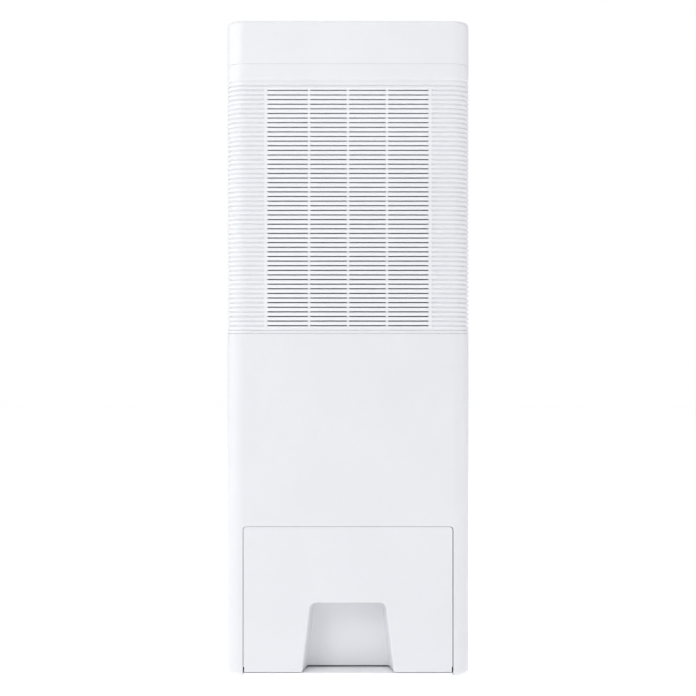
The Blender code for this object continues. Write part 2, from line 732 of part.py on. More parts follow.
def pipes():
    ax, ay = ACCUMULATOR
    cx, cy = COMPRESSOR
    evaporator_y, condenser_y = sum(EVAPORATOR_Y) / 2, sum(CONDENSER_Y) / 2
    low_row, high_row = COIL_Z[0] + 16, COIL_Z[1] - 16
    bracket = COIL_HALF + 2.6
    suction = [(bracket, evaporator_y, low_row), (104, evaporator_y, low_row), (104, evaporator_y, 326)]
    suction += [(ax, evaporator_y, 326), (ax, ay, 326), (ax, ay, ACCUMULATOR_Z[1] + 10 + FIT)]
    pipe("suction_pipe", bent_path(suction, 10), 4, COPPER)
    discharge = [(cx, cy, COMPRESSOR_Z[1] + FIT), (cx, cy, 333), (-104, cy, 333), (-104, condenser_y, 333)]
    discharge += [(-104, condenser_y, high_row), (-bracket, condenser_y, high_row)]
    pipe("discharge_pipe", bent_path(discharge, 8), 3.2, COPPER)
    foot, top = DRIER_Z
    profile = [(0, top), (3, top - 1), (9, top - 8), (9, foot + 8), (3, foot + 1), (0, foot)]
    turned("filter_drier", profile, COPPER, (*DRIER, 0), steps=16)
    liquid = [(*DRIER, top + FIT), (*DRIER, 316), (DRIER[0], condenser_y, 316), (DRIER[0], condenser_y, 344)]
    liquid += [(108, condenser_y, 372), (bracket, condenser_y, 372)]
    pipe("capillary_tube", bent_path(liquid, 6, 3), 1.6, COPPER)


# ---------------------------------------------------------------- blower


def casing_outline(inset):
    """A round belly that rises to the outlet's width, which is open at the top."""
    r = CASING_R - inset
    belly = arc((0, FAN_Z), r, 0, -180, 16)
    half = DUCT_HALF - inset
    top = DUCT_Z[0] - FIT + (20 if inset else 0)
    return [(half, top), (half, 596), (r, 540), *belly, (-r, 540), (-half, 596), (-half, top)]


def blower():
    near, far = CASING_Y
    casing = plate("fan_casing", casing_outline(0), near, far, Y, GREY)
    hollow = plate("casing_hollow", casing_outline(CASING_WALL), near - 5, far - CASING_WALL)
    cut(casing, hollow, rod("shaft_hole", (0, 20, FAN_Z), 30, 8, axis=Y, sides=20))
    ring = box("fan_inlet_ring", (-98, near - FIT - 2, 353), (98, near - FIT, 604), GREY, 6, Y, 3)
    cut(ring, rod("inlet_hole_round", (0, -60, FAN_Z), 60, 60, axis=Y, sides=40))
    motor = rod("fan_motor", (0, far + FIT, FAN_Z), MOTOR_LENGTH, MOTOR_R, ZINC, Y, 28)
    join(motor, rod("motor_boss", (0, far + 30, FAN_Z), 12, 14, axis=Y, sides=20))


def impeller(parent):
    """A drum of blades between a back disc and a front ring, with a boss that runs back to the motor."""
    front, back = IMPELLER_Y
    disc = rod("fan_impeller", (0, back, FAN_Z), 2, FAN_R, GREY, Y, 36, parent)
    boss = rod("fan_boss", (0, 4, FAN_Z), CASING_Y[1] - 4, 7, axis=Y, sides=20)
    ring = rod("fan_ring", (0, front - 2, FAN_Z), 3, FAN_R, axis=Y, sides=36)
    cut(ring, rod("fan_eye", (0, front - 10, FAN_Z), 20, EYE_R, axis=Y, sides=36))
    blades = []
    foot, tip = EYE_R - 1, FAN_R - 1
    lean = Matrix.Rotation(math.radians(BLADE_LEAN), 3, "Y")
    for i in range(BLADES):
        blade = cube((-0.6, front, foot), (0.6, back + 1, tip))
        bmesh.ops.rotate(blade, cent=(0, 0, (foot + tip) / 2 * MM), matrix=lean, verts=blade.verts)
        turn = Matrix.Rotation(math.tau * i / BLADES, 3, "Y")
        bmesh.ops.rotate(blade, cent=(0, 0, 0), matrix=turn, verts=blade.verts)
        bmesh.ops.translate(blade, vec=(0, 0, FAN_Z * MM), verts=blade.verts)
        blades.append(blade)
    join(disc, boss, together("fan_blades", blades), ring)


# ---------------------------------------------------------------- outlet


def vane_places():
    return [VANE_PITCH * (i - (VANES - 1) / 2) for i in range(VANES)]


def outlet():
    """The duct from the blower to the cap, its finger guard and the motor that drives the flap."""
    low, high = DUCT_Z
    duct = box("outlet_duct", (-DUCT_HALF, -DUCT_Y, low), (DUCT_HALF, DUCT_Y, high), GREY)
    inner_half, inner_y = DUCT_HALF - DUCT_WALL, DUCT_Y - DUCT_WALL
    hollow = box("duct_hollow", (-inner_half, -inner_y, low - 10), (inner_half, inner_y, high + 10))
    holes = [cylinder((x, -60, VANE_PIVOT_Z), 120, 1.5, Y, 10) for x in vane_places()]
    flap_hole = rod("flap_hole", (-120, *FLAP_PIVOT[1:]), 240, 1.5, axis=X, sides=14)
    cut(duct, hollow, together("vane_holes", holes), flap_hole)

    guard_low = (-inner_half + FIT, -inner_y + FIT, GUARD_Z[0])
    guard_high = (inner_half - FIT, inner_y - FIT, GUARD_Z[1])
    guard = box("outlet_guard", guard_low, guard_high, GREY)
    bar = GUARD_BAR
    step_x = (guard_high[0] - guard_low[0] - bar) / GUARD_COLUMNS
    step_y = (guard_high[1] - guard_low[1] - bar) / GUARD_ROWS
    windows = []
    for i in range(GUARD_COLUMNS):
        for j in range(GUARD_ROWS):
            x = guard_low[0] + bar + i * step_x
            y = guard_low[1] + bar + j * step_y
            windows.append(cube((x, y, 640), (x + step_x - bar, y + step_y - bar, 650)))
    cut(guard, together("guard_windows", windows))
    rod("louvre_motor", (82, FLAP_PIVOT[1], 640), 12, 11.5, ZINC, X, 24)


def flap(parent):
    """The outlet's lid: a plate with a thick round rear edge on the hinge line, and a pin at each end."""
    _, y, z = FLAP_PIVOT
    half = DUCT_HALF - DUCT_WALL - 0.6
    barrel = rod("louvre_flap", (-half, y, z), 2 * half, FLAP_BARREL_R, WHITE, X, 24, parent)
    leaf = box("flap_leaf", (-half, y, HEIGHT - 2.2), (half, 36.6, HEIGHT), None, 1.5, X, 2, None,
               lambda middle: middle.y > 0)
    pins = rod("flap_pins", (-DUCT_HALF, y, z), 2 * DUCT_HALF, 1.15, axis=X, sides=14)
    join(barrel, leaf, pins)


def vane(index, parent, x):
    z = VANE_PIVOT_Z
    blade = box(f"vane_{index}", (x - 0.8, -34, 628), (x + 0.8, 34, z + 2.6), GREY, parent=parent)
    spine = rod(f"vane_spine_{index}", (x, -DUCT_Y, z), 2 * DUCT_Y, 1.1, axis=Y, sides=10)
    tab = box(f"vane_tab_{index}", (x - 0.8, 6, z - VANE_ARM - 2), (x + 0.8, 11, 630))
    pin = rod(f"vane_pin_{index}", (x, 2, z - VANE_ARM), 5, 1, axis=Y, sides=10)
    join(blade, spine, tab, pin)


def vane_link(parent):
    """The bar that turns the vanes together. Its slots leave room for the rise and fall of their pins."""
    low_y, high_y = VANE_LINK_Y
    low, high = (-LINK_HALF, low_y, LINK_Z[0]), (LINK_HALF, high_y, LINK_Z[1])
    bar = box("vane_link", low, high, GREY, 2, Y, 2, parent)
    middle = VANE_PIVOT_Z - VANE_ARM
    slots = [cube((x - 1.7, -5, middle - 1.9), (x + 1.7, 15, middle + 4)) for x in vane_places()]
    cut(bar, together("link_slots", slots))


# ---------------------------------------------------------------- controls


def controls():
    floor = HEIGHT - PANEL_RECESS + FIT
    half, deep = CONTROL_HALF - SEAM, CONTROL_DEPTH - SEAM
    low, high = (-half, CONTROLS_Y - deep, floor), (half, CONTROLS_Y + deep, HEIGHT - 0.2)
    panel = box("control_panel", low, high, WHITE, 4.5, Z, 4)
    holes = [cylinder((x, CONTROLS_Y, 640), 30, BUTTON_R + FIT) for x in BUTTONS.values()]
    half, deep = DISPLAY_HALF, DISPLAY_DEPTH
    low, high = (-half, CONTROLS_Y - deep, floor), (half, CONTROLS_Y + deep, HEIGHT - 0.1)
    box("display_window", low, high, DARK, 2, Z, 3)
    low = (-half - FIT, CONTROLS_Y - deep - FIT, 640)
    hole = box("display_hole", low, (half + FIT, CONTROLS_Y + deep + FIT, 700), None, 2.3, Z, 3)
    cut(panel, together("panel_holes", holes), hole)
    box("control_board", (-72, 54, BOARD_Z[0]), (72, 102, BOARD_Z[1]), BOARD)
    box("electronics_box", (-72, 74, ELECTRONICS_Z[0]), (72, 112, ELECTRONICS_Z[1]), GREY, 4, Y, 2)


def button(name, x, parent):
    """A round cap with a wider skirt that stays under the cap of the tower."""
    skirt_r, skirt_top, skirt_foot = BUTTON_R + 1.6, -WALL - 0.4, -WALL - 1.8
    profile = [(0, -0.3), (BUTTON_R - 1, -0.3), (BUTTON_R, -1), (BUTTON_R, skirt_top), (skirt_r, skirt_top),
               (skirt_r, skirt_foot), (0, skirt_foot)]
    turned(f"{name}_button", profile, WHITE, (x, CONTROLS_Y, HEIGHT), steps=16, parent=parent)


def build():
    base()
    housings()
    power_inlet()
    top_cover()
    deck()
    coils()
    drip_tray()
    compressor()
    pipes()
    blower()
    outlet()
    controls()

    intake(pivot("intake_slide", (0, COVER_Y, BAND_Z)))
    tank_slide = pivot("tank_slide", (0, -HALF_D, PANEL_Z))
    tank(tank_slide)
    handle(pivot("handle_pivot", HANDLE_PIVOT))
    tank_float(pivot("float_pivot", FLOAT_PIVOT))
    impeller(pivot("fan_pivot", (0, 0, FAN_Z)))
    flap(pivot("flap_pivot", FLAP_PIVOT))
    for index, x in enumerate(vane_places(), 1):
        vane(index, pivot(f"vane_pivot_{index}", (x, 0, VANE_PIVOT_Z)), x)
    vane_link(pivot("link_slide", (0, VANE_LINK_Y[0], VANE_PIVOT_Z - VANE_ARM)))
    for name, x in BUTTONS.items():
        button(name, x, pivot(f"{name}_slide", (x, CONTROLS_Y, HEIGHT)))


build()
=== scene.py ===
"""A slim white tower dehumidifier: the looks of every piece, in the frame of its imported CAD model.

Shapes are written in millimetres and made in metres. +Z is up, and -Y is the side with the intake
and the tank.
"""

import math

import bmesh
import bpy
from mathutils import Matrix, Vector
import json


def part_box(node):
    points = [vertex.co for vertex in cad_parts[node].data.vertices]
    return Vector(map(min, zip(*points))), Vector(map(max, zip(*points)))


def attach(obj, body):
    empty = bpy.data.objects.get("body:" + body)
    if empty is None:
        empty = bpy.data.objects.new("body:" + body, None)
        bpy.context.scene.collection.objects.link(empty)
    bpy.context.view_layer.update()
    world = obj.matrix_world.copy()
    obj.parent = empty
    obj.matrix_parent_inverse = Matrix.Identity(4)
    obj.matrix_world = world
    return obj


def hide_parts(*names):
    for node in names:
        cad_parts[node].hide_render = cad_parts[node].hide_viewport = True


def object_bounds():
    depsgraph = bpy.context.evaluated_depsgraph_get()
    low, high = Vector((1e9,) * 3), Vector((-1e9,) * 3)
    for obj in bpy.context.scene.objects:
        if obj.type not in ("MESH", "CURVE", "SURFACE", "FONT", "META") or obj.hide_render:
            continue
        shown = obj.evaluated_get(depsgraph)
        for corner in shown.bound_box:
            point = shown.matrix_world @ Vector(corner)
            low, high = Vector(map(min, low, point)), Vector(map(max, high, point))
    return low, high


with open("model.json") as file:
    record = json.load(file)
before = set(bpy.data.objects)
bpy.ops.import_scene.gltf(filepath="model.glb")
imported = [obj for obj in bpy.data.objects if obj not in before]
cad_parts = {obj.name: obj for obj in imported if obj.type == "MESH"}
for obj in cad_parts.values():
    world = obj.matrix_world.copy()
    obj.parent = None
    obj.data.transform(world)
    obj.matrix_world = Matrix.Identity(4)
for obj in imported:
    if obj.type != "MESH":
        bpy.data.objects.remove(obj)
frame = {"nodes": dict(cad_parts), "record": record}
cad_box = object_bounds()

MM = 0.001
X, Y, Z = 0, 1, 2


def limits(node):
    """The lowest and highest corner of a CAD node, in millimetres."""
    low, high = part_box(node)
    return [low[i] / MM for i in range(3)], [high[i] / MM for i in range(3)]


def middle_of(node):
    low, high = limits(node)
    return [(a + b) / 2 for a, b in zip(low, high)]


OUT = cad_box[1].x / MM  # half the tower's width, and its depth is the same
TOP = cad_box[1].z / MM
CORNER = 18  # the radius of the tower's upright edges
CORNER_AT = OUT - CORNER  # how far out the centre of that radius is
WALL = 2.5  # how thick the outer walls are
SKIRT = 0.5  # the foot of the walls
SEAM = 0.12  # between the cap and the ribbed band
BAND = limits("intake_cover")[0][2] - 0.22  # the top of the plain walls, under the ribbed band
# The top of the ribbed band, halfway between where the CAD's cover ends and its cap starts.
CAP = (limits("intake_cover")[1][2] + limits("top_cover")[0][2] - SEAM) / 2
FAR = 200  # well outside the tower, for the shapes that cut
BODIES = frame["record"]["behaviour"]["bodies"]
BODY_OF = {node: body for body, nodes in BODIES.items() for node in nodes}
SLOT_OF = {part["node"]: part["material_slot"] for part in frame["record"]["subparts"]}


# ---------------------------------------------------------------- materials


class Shader:
    """A node material, built up from its Principled shader."""

    def __init__(self, name, colour, roughness, metallic=0.0, **sockets):
        self.mat = bpy.data.materials.new(name)
        self.mat.use_nodes = True
        self.tree = self.mat.node_tree
        self.bsdf = self.tree.nodes["Principled BSDF"]
        self.colour, self.rough = (*colour, 1), roughness
        self.bsdf.inputs["Base Color"].default_value = self.colour
        self.bsdf.inputs["Roughness"].default_value = roughness
        self.bsdf.inputs["Metallic"].default_value = metallic
        for socket, value in sockets.items():
            self.bsdf.inputs[socket.replace("_", " ")].default_value = value
        self.where = self.node("ShaderNodeTexCoord").outputs["Object"]
        self.normal = None

    def node(self, kind, **values):
        """A new node. Each value is one of its properties or, failing that, one of its sockets."""
        made = self.tree.nodes.new(kind)
        for key, value in values.items():
            if hasattr(made, key):
                setattr(made, key, value)
            else:
                made.inputs[key.replace("_", " ")].default_value = value
        return made

    def link(self, out, into):
        self.tree.links.new(out, into)

    def texture(self, kind, **values):
        """A texture node that reads the object's own coordinates."""
        made = self.node(kind, **values)
        self.link(self.where, made.inputs["Vector"])
        return made

    def noise(self, size_mm, detail, rough=0.55, stretch=None):
        """Noise of a size, which may be stretched by its own scale on each axis."""
        made = self.texture("ShaderNodeTexNoise", Scale=1 / (size_mm * MM), Detail=detail,
                            Roughness=rough)
        if stretch:
            mapping = self.texture("ShaderNodeMapping", Scale=stretch)
            self.link(mapping.outputs["Vector"], made.inputs["Vector"])
        return made.outputs["Fac"]

    def ranged(self, value, low, high, start=0.3, end=0.7):
        """A value's run from start to end, turned into a run from low to high."""
        made = self.node("ShaderNodeMapRange", From_Min=start, From_Max=end,
                         To_Min=low, To_Max=high)
        self.link(value, made.inputs["Value"])
        return made.outputs["Result"]

    def tint(self, factor, colour):
        """Mixes another colour in where the factor is high."""
        socket = self.bsdf.inputs["Base Color"]
        mix = self.node("ShaderNodeMix", data_type="RGBA")
        self.link(factor, mix.inputs["Factor"])
        if socket.is_linked:
            self.link(socket.links[0].from_socket, mix.inputs["A"])
        else:
            mix.inputs["A"].default_value = self.colour
        mix.inputs["B"].default_value = (*colour, 1)
        self.link(mix.outputs["Result"], socket)
        return self

    def cloud(self, size_mm, colour, most):
        """Soft patches of another colour."""
        return self.tint(self.ranged(self.noise(size_mm, 4), 0, most, 0.35, 0.65), colour)

    def edges(self, colour, most):
        """Worn or dusty edges, from how sharply the surface bends."""
        bend = self.node("ShaderNodeNewGeometry").outputs["Pointiness"]
        return self.tint(self.ranged(bend, 0, most, 0.52, 0.58), colour)

    def roughness(self, size_mm, spread):
        value = self.ranged(self.noise(size_mm, 3), self.rough - spread, self.rough + spread)
        self.link(value, self.bsdf.inputs["Roughness"])
        return self

    def bump(self, height, distance_mm):
        made = self.node("ShaderNodeBump", Strength=1.0, Distance=distance_mm * MM)
        self.link(height, made.inputs["Height"])
        if self.normal:
            self.link(self.normal, made.inputs["Normal"])
        self.normal = made.outputs["Normal"]
        self.link(self.normal, self.bsdf.inputs["Normal"])
        return self

    def grain(self, size_mm, distance_mm):
        return self.bump(self.noise(size_mm, 2), distance_mm)


def moulded(name, colour, roughness, grain_mm, depth_mm, **sockets):
    """Injection-moulded plastic: spark-eroded grain, and slow drifts of its colour and gloss."""
    made = Shader(name, colour, roughness, **sockets)
    darker = [c * 0.965 for c in colour]
    made.cloud(90, darker, 0.8).cloud(7, darker, 0.35)
    return made.roughness(3, 0.06).grain(grain_mm, depth_mm).mat


def satin(name, *colour):
    """The white of the outside. The lighter copies of it for the cap, the ribbed cover and the sill
    are painted light: their extra lightness stands for light those parts catch.
    """
    return moulded("satin_" + name, colour, 0.42, 0.45, 0.010)


def milky():
    made = Shader("milky_polypropylene", (0.80, 0.84, 0.87), 0.34,
                  Transmission_Weight=0.35, IOR=1.49)
    made.cloud(60, (0.72, 0.77, 0.82), 0.6)
    return made.roughness(5, 0.05).grain(9, 0.02).mat


def gloss():
    made = Shader("smoked_window", (0.012, 0.012, 0.016), 0.10,
                  Coat_Weight=0.6, Coat_Roughness=0.04)
    made.cloud(22, (0.03, 0.03, 0.038), 0.6)
    return made.roughness(9, 0.03).grain(12, 0.015).mat


def net():
    """A plain weave, whose threads stand proud of the gaps between them, which are painted dark as
    painted shade.
    """
    made = Shader("woven_net", (0.50, 0.48, 0.465), 0.8)
    weave = made.node("ShaderNodeMath", operation="MAXIMUM")
    for socket, direction in zip(weave.inputs, "XZ"):
        threads = made.texture("ShaderNodeTexWave", wave_type="BANDS", bands_direction=direction,
                               Scale=330.0)
        made.link(threads.outputs["Fac"], socket)
    # The dark between the threads is painted shade, for the dark inside seen through the holes.
    made.tint(made.ranged(weave.outputs[0], 1, 0, 0.35, 0.7), (0.10, 0.095, 0.09))
    made.cloud(40, (0.27, 0.25, 0.24), 0.5)
    return made.bump(weave.outputs[0], 0.15).mat


def black_paint():
    made = Shader("black_enamel", (0.022, 0.022, 0.024), 0.32, Coat_Weight=0.3, Coat_Roughness=0.2)
    made.cloud(35, (0.04, 0.04, 0.043), 0.7).edges((0.16, 0.15, 0.14), 0.6)
    return made.roughness(6, 0.08).grain(2.4, 0.05).mat


def bare_aluminium():
    made = Shader("fin_aluminium", (0.74, 0.75, 0.77), 0.34, 1.0)
    made.cloud(14, (0.60, 0.61, 0.64), 0.7).edges((0.9, 0.9, 0.92), 0.5)
    streaks = made.noise(1.2, 2, 0.5, stretch=(1, 1, 0.05))
    return made.roughness(4, 0.09).bump(streaks, 0.03).mat


def copper_tube():
    made = Shader("drawn_copper", (0.80, 0.40, 0.25), 0.28, 1.0)
    made.cloud(18, (0.52, 0.22, 0.13), 0.75).cloud(4, (0.90, 0.55, 0.38), 0.4)
    return made.roughness(5, 0.1).grain(1.5, 0.02).mat


def zinc_sheet():
    made = Shader("zinc_plate", (0.58, 0.59, 0.61), 0.36, 1.0)
    spangle = made.texture("ShaderNodeTexVoronoi", Scale=110.0)
    made.tint(made.ranged(spangle.outputs["Distance"], 0, 0.5, 0.1, 0.7), (0.70, 0.71, 0.74))
    made.edges((0.8, 0.8, 0.82), 0.6)
    streaks = made.noise(0.9, 2, 0.5, stretch=(0.06, 1, 1))
    return made.roughness(6, 0.08).bump(streaks, 0.02).mat


def board():
    made = Shader("green_board", (0.03, 0.17, 0.07), 0.38)
    tracks = made.texture("ShaderNodeTexVoronoi", feature="DISTANCE_TO_EDGE",
                          distance="CHEBYCHEV", Scale=170.0)
    made.tint(made.ranged(tracks.outputs["Distance"], 1, 0, 0.04, 0.07), (0.08, 0.30, 0.12))
    return made.cloud(25, (0.02, 0.12, 0.05), 0.5).roughness(4, 0.06).grain(1.1, 0.02).mat


def foam():
    made = Shader("closed_cell_foam", (0.84, 0.82, 0.76), 0.85)
    cells = made.texture("ShaderNodeTexVoronoi", Scale=900.0)
    made.cloud(16, (0.74, 0.71, 0.64), 0.7)
    return made.bump(cells.outputs["Distance"], 0.25).roughness(3, 0.05).mat


MATERIALS = {
    "white_shell": satin("white", 0.725, 0.732, 0.761),
    "grey_moulding": moulded("grey_moulded", (0.34, 0.35, 0.37), 0.55, 0.7, 0.02),
    "rubber": moulded("black_rubber", (0.035, 0.035, 0.037), 0.82, 0.9, 0.03),
    "milky_tank": milky(),
    "dark_gloss": gloss(),
    "filter_net": net(),
    "black_steel": black_paint(),
    "coil_aluminium": bare_aluminium(),
    "copper": copper_tube(),
    "zinc_steel": zinc_sheet(),
    "circuit_board": board(),
    "float_foam": foam(),
}
# Lighter copies of the outside's white for the cap and the ribbed cover: their extra lightness is
# painted light.
CAP_WHITE_PAINTED_LIGHT = satin("cap", 0.755, 0.762, 0.79)
COVER_WHITE_PAINTED_LIGHT = satin("cover", 0.752, 0.759, 0.786)
# A much lighter copy of the white for the base and its sill: painted light, standing for the light
# that falls on the sill under the tank's recess.
SILL_PAINTED_LIGHT = satin("sill", 0.93, 0.935, 0.95)
# A lighter copy of the white for the slats: painted light, for the light their fronts and undersides
# catch.
SLAT_PAINTED_LIGHT = moulded("satin_slats_painted_light", (0.80, 0.807, 0.835), 0.4, 0.45, 0.008)
INK = moulded("grey_print", (0.17, 0.18, 0.20), 0.5, 0.6, 0.006)
GLOW = moulded("pale_digits", (0.55, 0.75, 0.82), 0.3, 0.9, 0.006, Emission_Color=(0.7, 0.9, 1, 1),
               Emission_Strength=0.55)


# ---------------------------------------------------------------- making pieces


def piece(name, mesh, node, slot=None, mat=None, hide=True):
    """A finished piece that rides where a CAD node does, and stands for it unless hide is False."""
    obj = bpy.data.objects.new(name, mesh)
    bpy.context.scene.collection.objects.link(obj)
    mesh.materials.clear()
    mesh.materials.append(mat or MATERIALS[slot or SLOT_OF[node]])
    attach(obj, BODY_OF[node])
    if hide:
        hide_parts(node)
    return obj


def shaded(mesh, angle):
    """Smooth shading, apart from the edges that bend by more than an angle."""
    mesh.shade_smooth()
    mesh.set_sharp_from_angle(angle=math.radians(angle))
    return mesh


def levelled(obj):
    """Keeps large flat faces flat in shading next to their rounded edges."""
    normals = obj.modifiers.new("level", "WEIGHTED_NORMAL")
    normals.weight = 100
    normals.keep_sharp = True
    return obj


class Shape:
    """Vertices and faces in millimetres, for one mesh."""

    def __init__(self):
        self.verts, self.faces = [], []

    def loft(self, rings):
        """Adds a solid through rings of as many points each, with a flat face at both ends."""
        start, count = len(self.verts), len(rings[0])
        for ring in rings:
            self.verts += ring
        for i in range(len(rings) - 1):
            for j in range(count):
                a, b = start + i * count + j, start + i * count + (j + 1) % count
                self.faces.append((a, b, b + count, a + count))
        last = start + (len(rings) - 1) * count
        self.faces.append(tuple(start + j for j in reversed(range(count))))
        self.faces.append(tuple(last + j for j in range(count)))
        return self

    def mesh(self, name, merge=0.0):
        """The shape as a mesh, with the points that are nearer than merge joined."""
        mesh = bpy.data.meshes.new(name)
        mesh.from_pydata([(x * MM, y * MM, z * MM) for x, y, z in self.verts], [], self.faces)
        bm = bmesh.new()
        bm.from_mesh(mesh)
        if merge:
            bmesh.ops.remove_doubles(bm, verts=bm.verts, dist=merge * MM)
        bmesh.ops.recalc_face_normals(bm, faces=bm.faces)
        bm.to_mesh(mesh)
        bm.free()
        mesh.shade_smooth()
        return mesh


def arc(cx, cy, r, start, end, steps):
    """Points round part of a circle, from one angle to another in degrees."""
    angles = [math.radians(start + (end - start) * i / steps) for i in range(steps + 1)]
    return [(cx + r * math.cos(a), cy + r * math.sin(a)) for a in angles]


def circle(cx, cy, r, count):
    return arc(cx, cy, r, 0, 360 - 360 / count, count - 1)


def mirror(points):
    """The mirror image of half an outline, in the order that goes on round it."""
    return [(-u, v) for u, v in reversed(points)]


def rounded_rect(low, high, r, steps):
    """A rectangle with round corners, anticlockwise. A radius that doesn't fit is put right."""
    least = 0.01
    (x0, y0), (x1, y1) = low, high
    r = max(min(r, (x1 - x0) / 2 - least, (y1 - y0) / 2 - least), least)
    return [
        *arc(x1 - r, y1 - r, r, 0, 90, steps),
        *arc(x0 + r, y1 - r, r, 90, 180, steps),
        *arc(x0 + r, y0 + r, r, 180, 270, steps),
        *arc(x1 - r, y0 + r, r, 270, 360, steps),
    ]


def lifted(outline, height, axis):
    """A flat outline at a height along an axis."""
    if axis == X:
        return [(height, u, v) for u, v in outline]
    if axis == Y:
        return [(u, height, v) for u, v in outline]
    return [(u, v, height) for u, v in outline]


def rounded_end(r, steps):
    """A rounded edge from a flat end to a side, as how far each point is in from the two."""
    if not r:
        return [(0, 0)]
    angles = [math.pi / 2 * (1 - i / steps) for i in range(steps + 1)]
    return [(r * (1 - math.sin(a)), r * (1 - math.cos(a))) for a in angles]


def pillow(low, high, corner, axis=Z, r_low=0.0, r_high=0.0, steps=8, rounds=4):
    """A rounded box: corners round about one axis, and the edges of its two ends rounded too."""
    u, v = [i for i in range(3) if i != axis]
    ends = [(low[axis] + depth, inset) for depth, inset in rounded_end(r_low, rounds)]
    ends += [(high[axis] - depth, inset) for depth, inset in reversed(rounded_end(r_high, rounds))]
    rings = []
    for place, inset in ends:
        least, most = (low[u] + inset, low[v] + inset), (high[u] - inset, high[v] - inset)
        rings.append(lifted(rounded_rect(least, most, corner - inset, steps), place, axis))
    return Shape().loft(rings)


def disc(x, y, r, low, high, count=40):
    """A plain cylinder about Z, used only to cut."""
    return Shape().loft([lifted(circle(x, y, r, count), z, Z) for z in (low, high)])


def helper(shape, name="cutter"):
    """A solid that makes or cuts another, and is removed after that."""
    obj = bpy.data.objects.new(name, shape.mesh(name, 0.001))
    bpy.context.scene.collection.objects.link(obj)
    return obj


SHARP = math.radians(38)  # an edge is only rounded if it bends by more than this


def cleaned(mesh, merge, flat):
    """A mesh's BMesh, without doubled points and the edges that bend by less than flat degrees."""
    bm = bmesh.new()
    bm.from_mesh(mesh)
    bmesh.ops.remove_doubles(bm, verts=bm.verts, dist=merge * MM)
    bmesh.ops.dissolve_limit(bm, angle_limit=math.radians(flat), verts=bm.verts, edges=bm.edges)
    return bm


def bevel(bm, edges, radius, segments):
    bmesh.ops.bevel(bm, geom=edges, offset=radius * MM, segments=segments, profile=0.5,
                    affect="EDGES", clamp_overlap=True)


def finished(bm, mesh, angle):
    """Puts a BMesh's shape in a mesh, shaded."""
    bm.to_mesh(mesh)
    bm.free()
    return shaded(mesh, angle)


def sharp_edges(bm):
    return [e for e in bm.edges if len(e.link_faces) == 2 and e.calc_face_angle(0) > SHARP]


def round_edges(mesh, rounds):
    """Rounds the sharp edges that each test picks, by its radius and with its number of segments.

    A test sees an edge's middle and its two ends, in millimetres.
    """
    bm = cleaned(mesh, 0.005, 0.4)
    for test, radius, segments in rounds:
        picked = []
        for edge in sharp_edges(bm):
            a, b = edge.verts[0].co / MM, edge.verts[1].co / MM
            if test((a + b) / 2, a, b):
                picked.append(edge)
        if picked:
            bevel(bm, picked, radius, segments)
    return finished(bm, mesh, 48)


def flat_at(axis, place):
    """A test that picks the edges which lie level at a place along an axis."""
    return lambda m, a, b: abs(m[axis] - place) < 0.1 and abs(a[axis] - b[axis]) < 0.01


def carved(name, solid, cutters, rounds=(), joined=()):
    """A solid after its unions and cuts, with the picked edges rounded, as a mesh."""
    obj = helper(solid, name)
    tools = []
    for operation, shapes in (("UNION", joined), ("DIFFERENCE", cutters)):
        for shape in shapes:
            tool = helper(shape)
            tools.append(tool)
            modifier = obj.modifiers.new("tool", "BOOLEAN")
            modifier.operation = operation
            modifier.object = tool
    mesh = bpy.data.meshes.new_from_object(obj.evaluated_get(bpy.context.evaluated_depsgraph_get()))
    for used in (obj, *tools):
        old = used.data
        bpy.data.objects.remove(used)
        bpy.data.meshes.remove(old)
    mesh.name = name
    return round_edges(mesh, rounds)


def softened(node):
    """A CAD node's own shape with its edges rounded."""
    mesh = frame["nodes"][node].data.copy()
    mesh.name = node + "_finished"
    bm = cleaned(mesh, 0.004, 0.6)
    bevel(bm, sharp_edges(bm), 0.5, 2)
    return levelled(piece(mesh.name, finished(bm, mesh, 50), node))


# ---------------------------------------------------------------- the ribbed band


PITCH = 4.617  # from one slot to the next
FIRST_SLOT = 587.1  # the middle of the top slot
ROWS = 52
SLOT = 1.0  # how high a slot is
WINDOW = 80.5  # half the width of the slotted part
TOP_SLATS = FIRST_SLOT + PITCH / 2
LOW_SLATS = FIRST_SLOT - (ROWS - 1) * PITCH - PITCH / 2
SIDE_GROOVE = 83.7  # where the side grooves end beside the slots
GROOVE_FRONT = 92  # where they end on the tower's sides
BAND_FRONT = 94  # where the sides' ribbed walls meet the plain front
GROOVE_END = 1.4  # the length of a groove's round end
# Half of a groove, from its edge to its middle: the height from its middle, and the depth.
GROOVE_HALF = ((-1.5, 0), (-1.23, 0.08), (-0.95, 0.38), (-0.79, 1.0), (-0.63, 1.7), (0, 2.0))
# The shallow grooves that end the band: foot, top and depth.
END_GROOVES = ((346.3, 347.8, 1.6), (595.3, 599.3, 1.3))
# Their section, as parts of their height and depth.
END_SECTION = ((0, 0), (0.12, 0.3), (0.3, 0.85), (0.5, 1), (0.7, 0.85), (0.88, 0.3), (1, 0))
STRUTS = (-39, 0, 39)
SLAT_DEPTH = 8.5
EDGE_STEPS = (0, 0.04, 0.1, 0.2)  # how far in the points of a rounded edge are
EDGE_R = 0.2


def groove_rows():
    """Heights and groove depths, from the band's foot to its top."""
    rows = []
    for low, high, deep in END_GROOVES:
        rows += [(low + (high - low) * along, depth * deep) for along, depth in END_SECTION]
    section = [*GROOVE_HALF, *[(-z, depth) for z, depth in reversed(GROOVE_HALF[:-1])]]
    for row in range(-1, ROWS):
        middle = FIRST_SLOT - row * PITCH
        rows += [(middle + z, depth) for z, depth in section]
    return sorted(rows)


def edge_round(distance):
    """How far a rounded edge has dropped at a distance in from it."""
    if distance >= EDGE_R:
        return 0
    return EDGE_R - math.sqrt(max(EDGE_R ** 2 - (EDGE_R - distance) ** 2, 0))


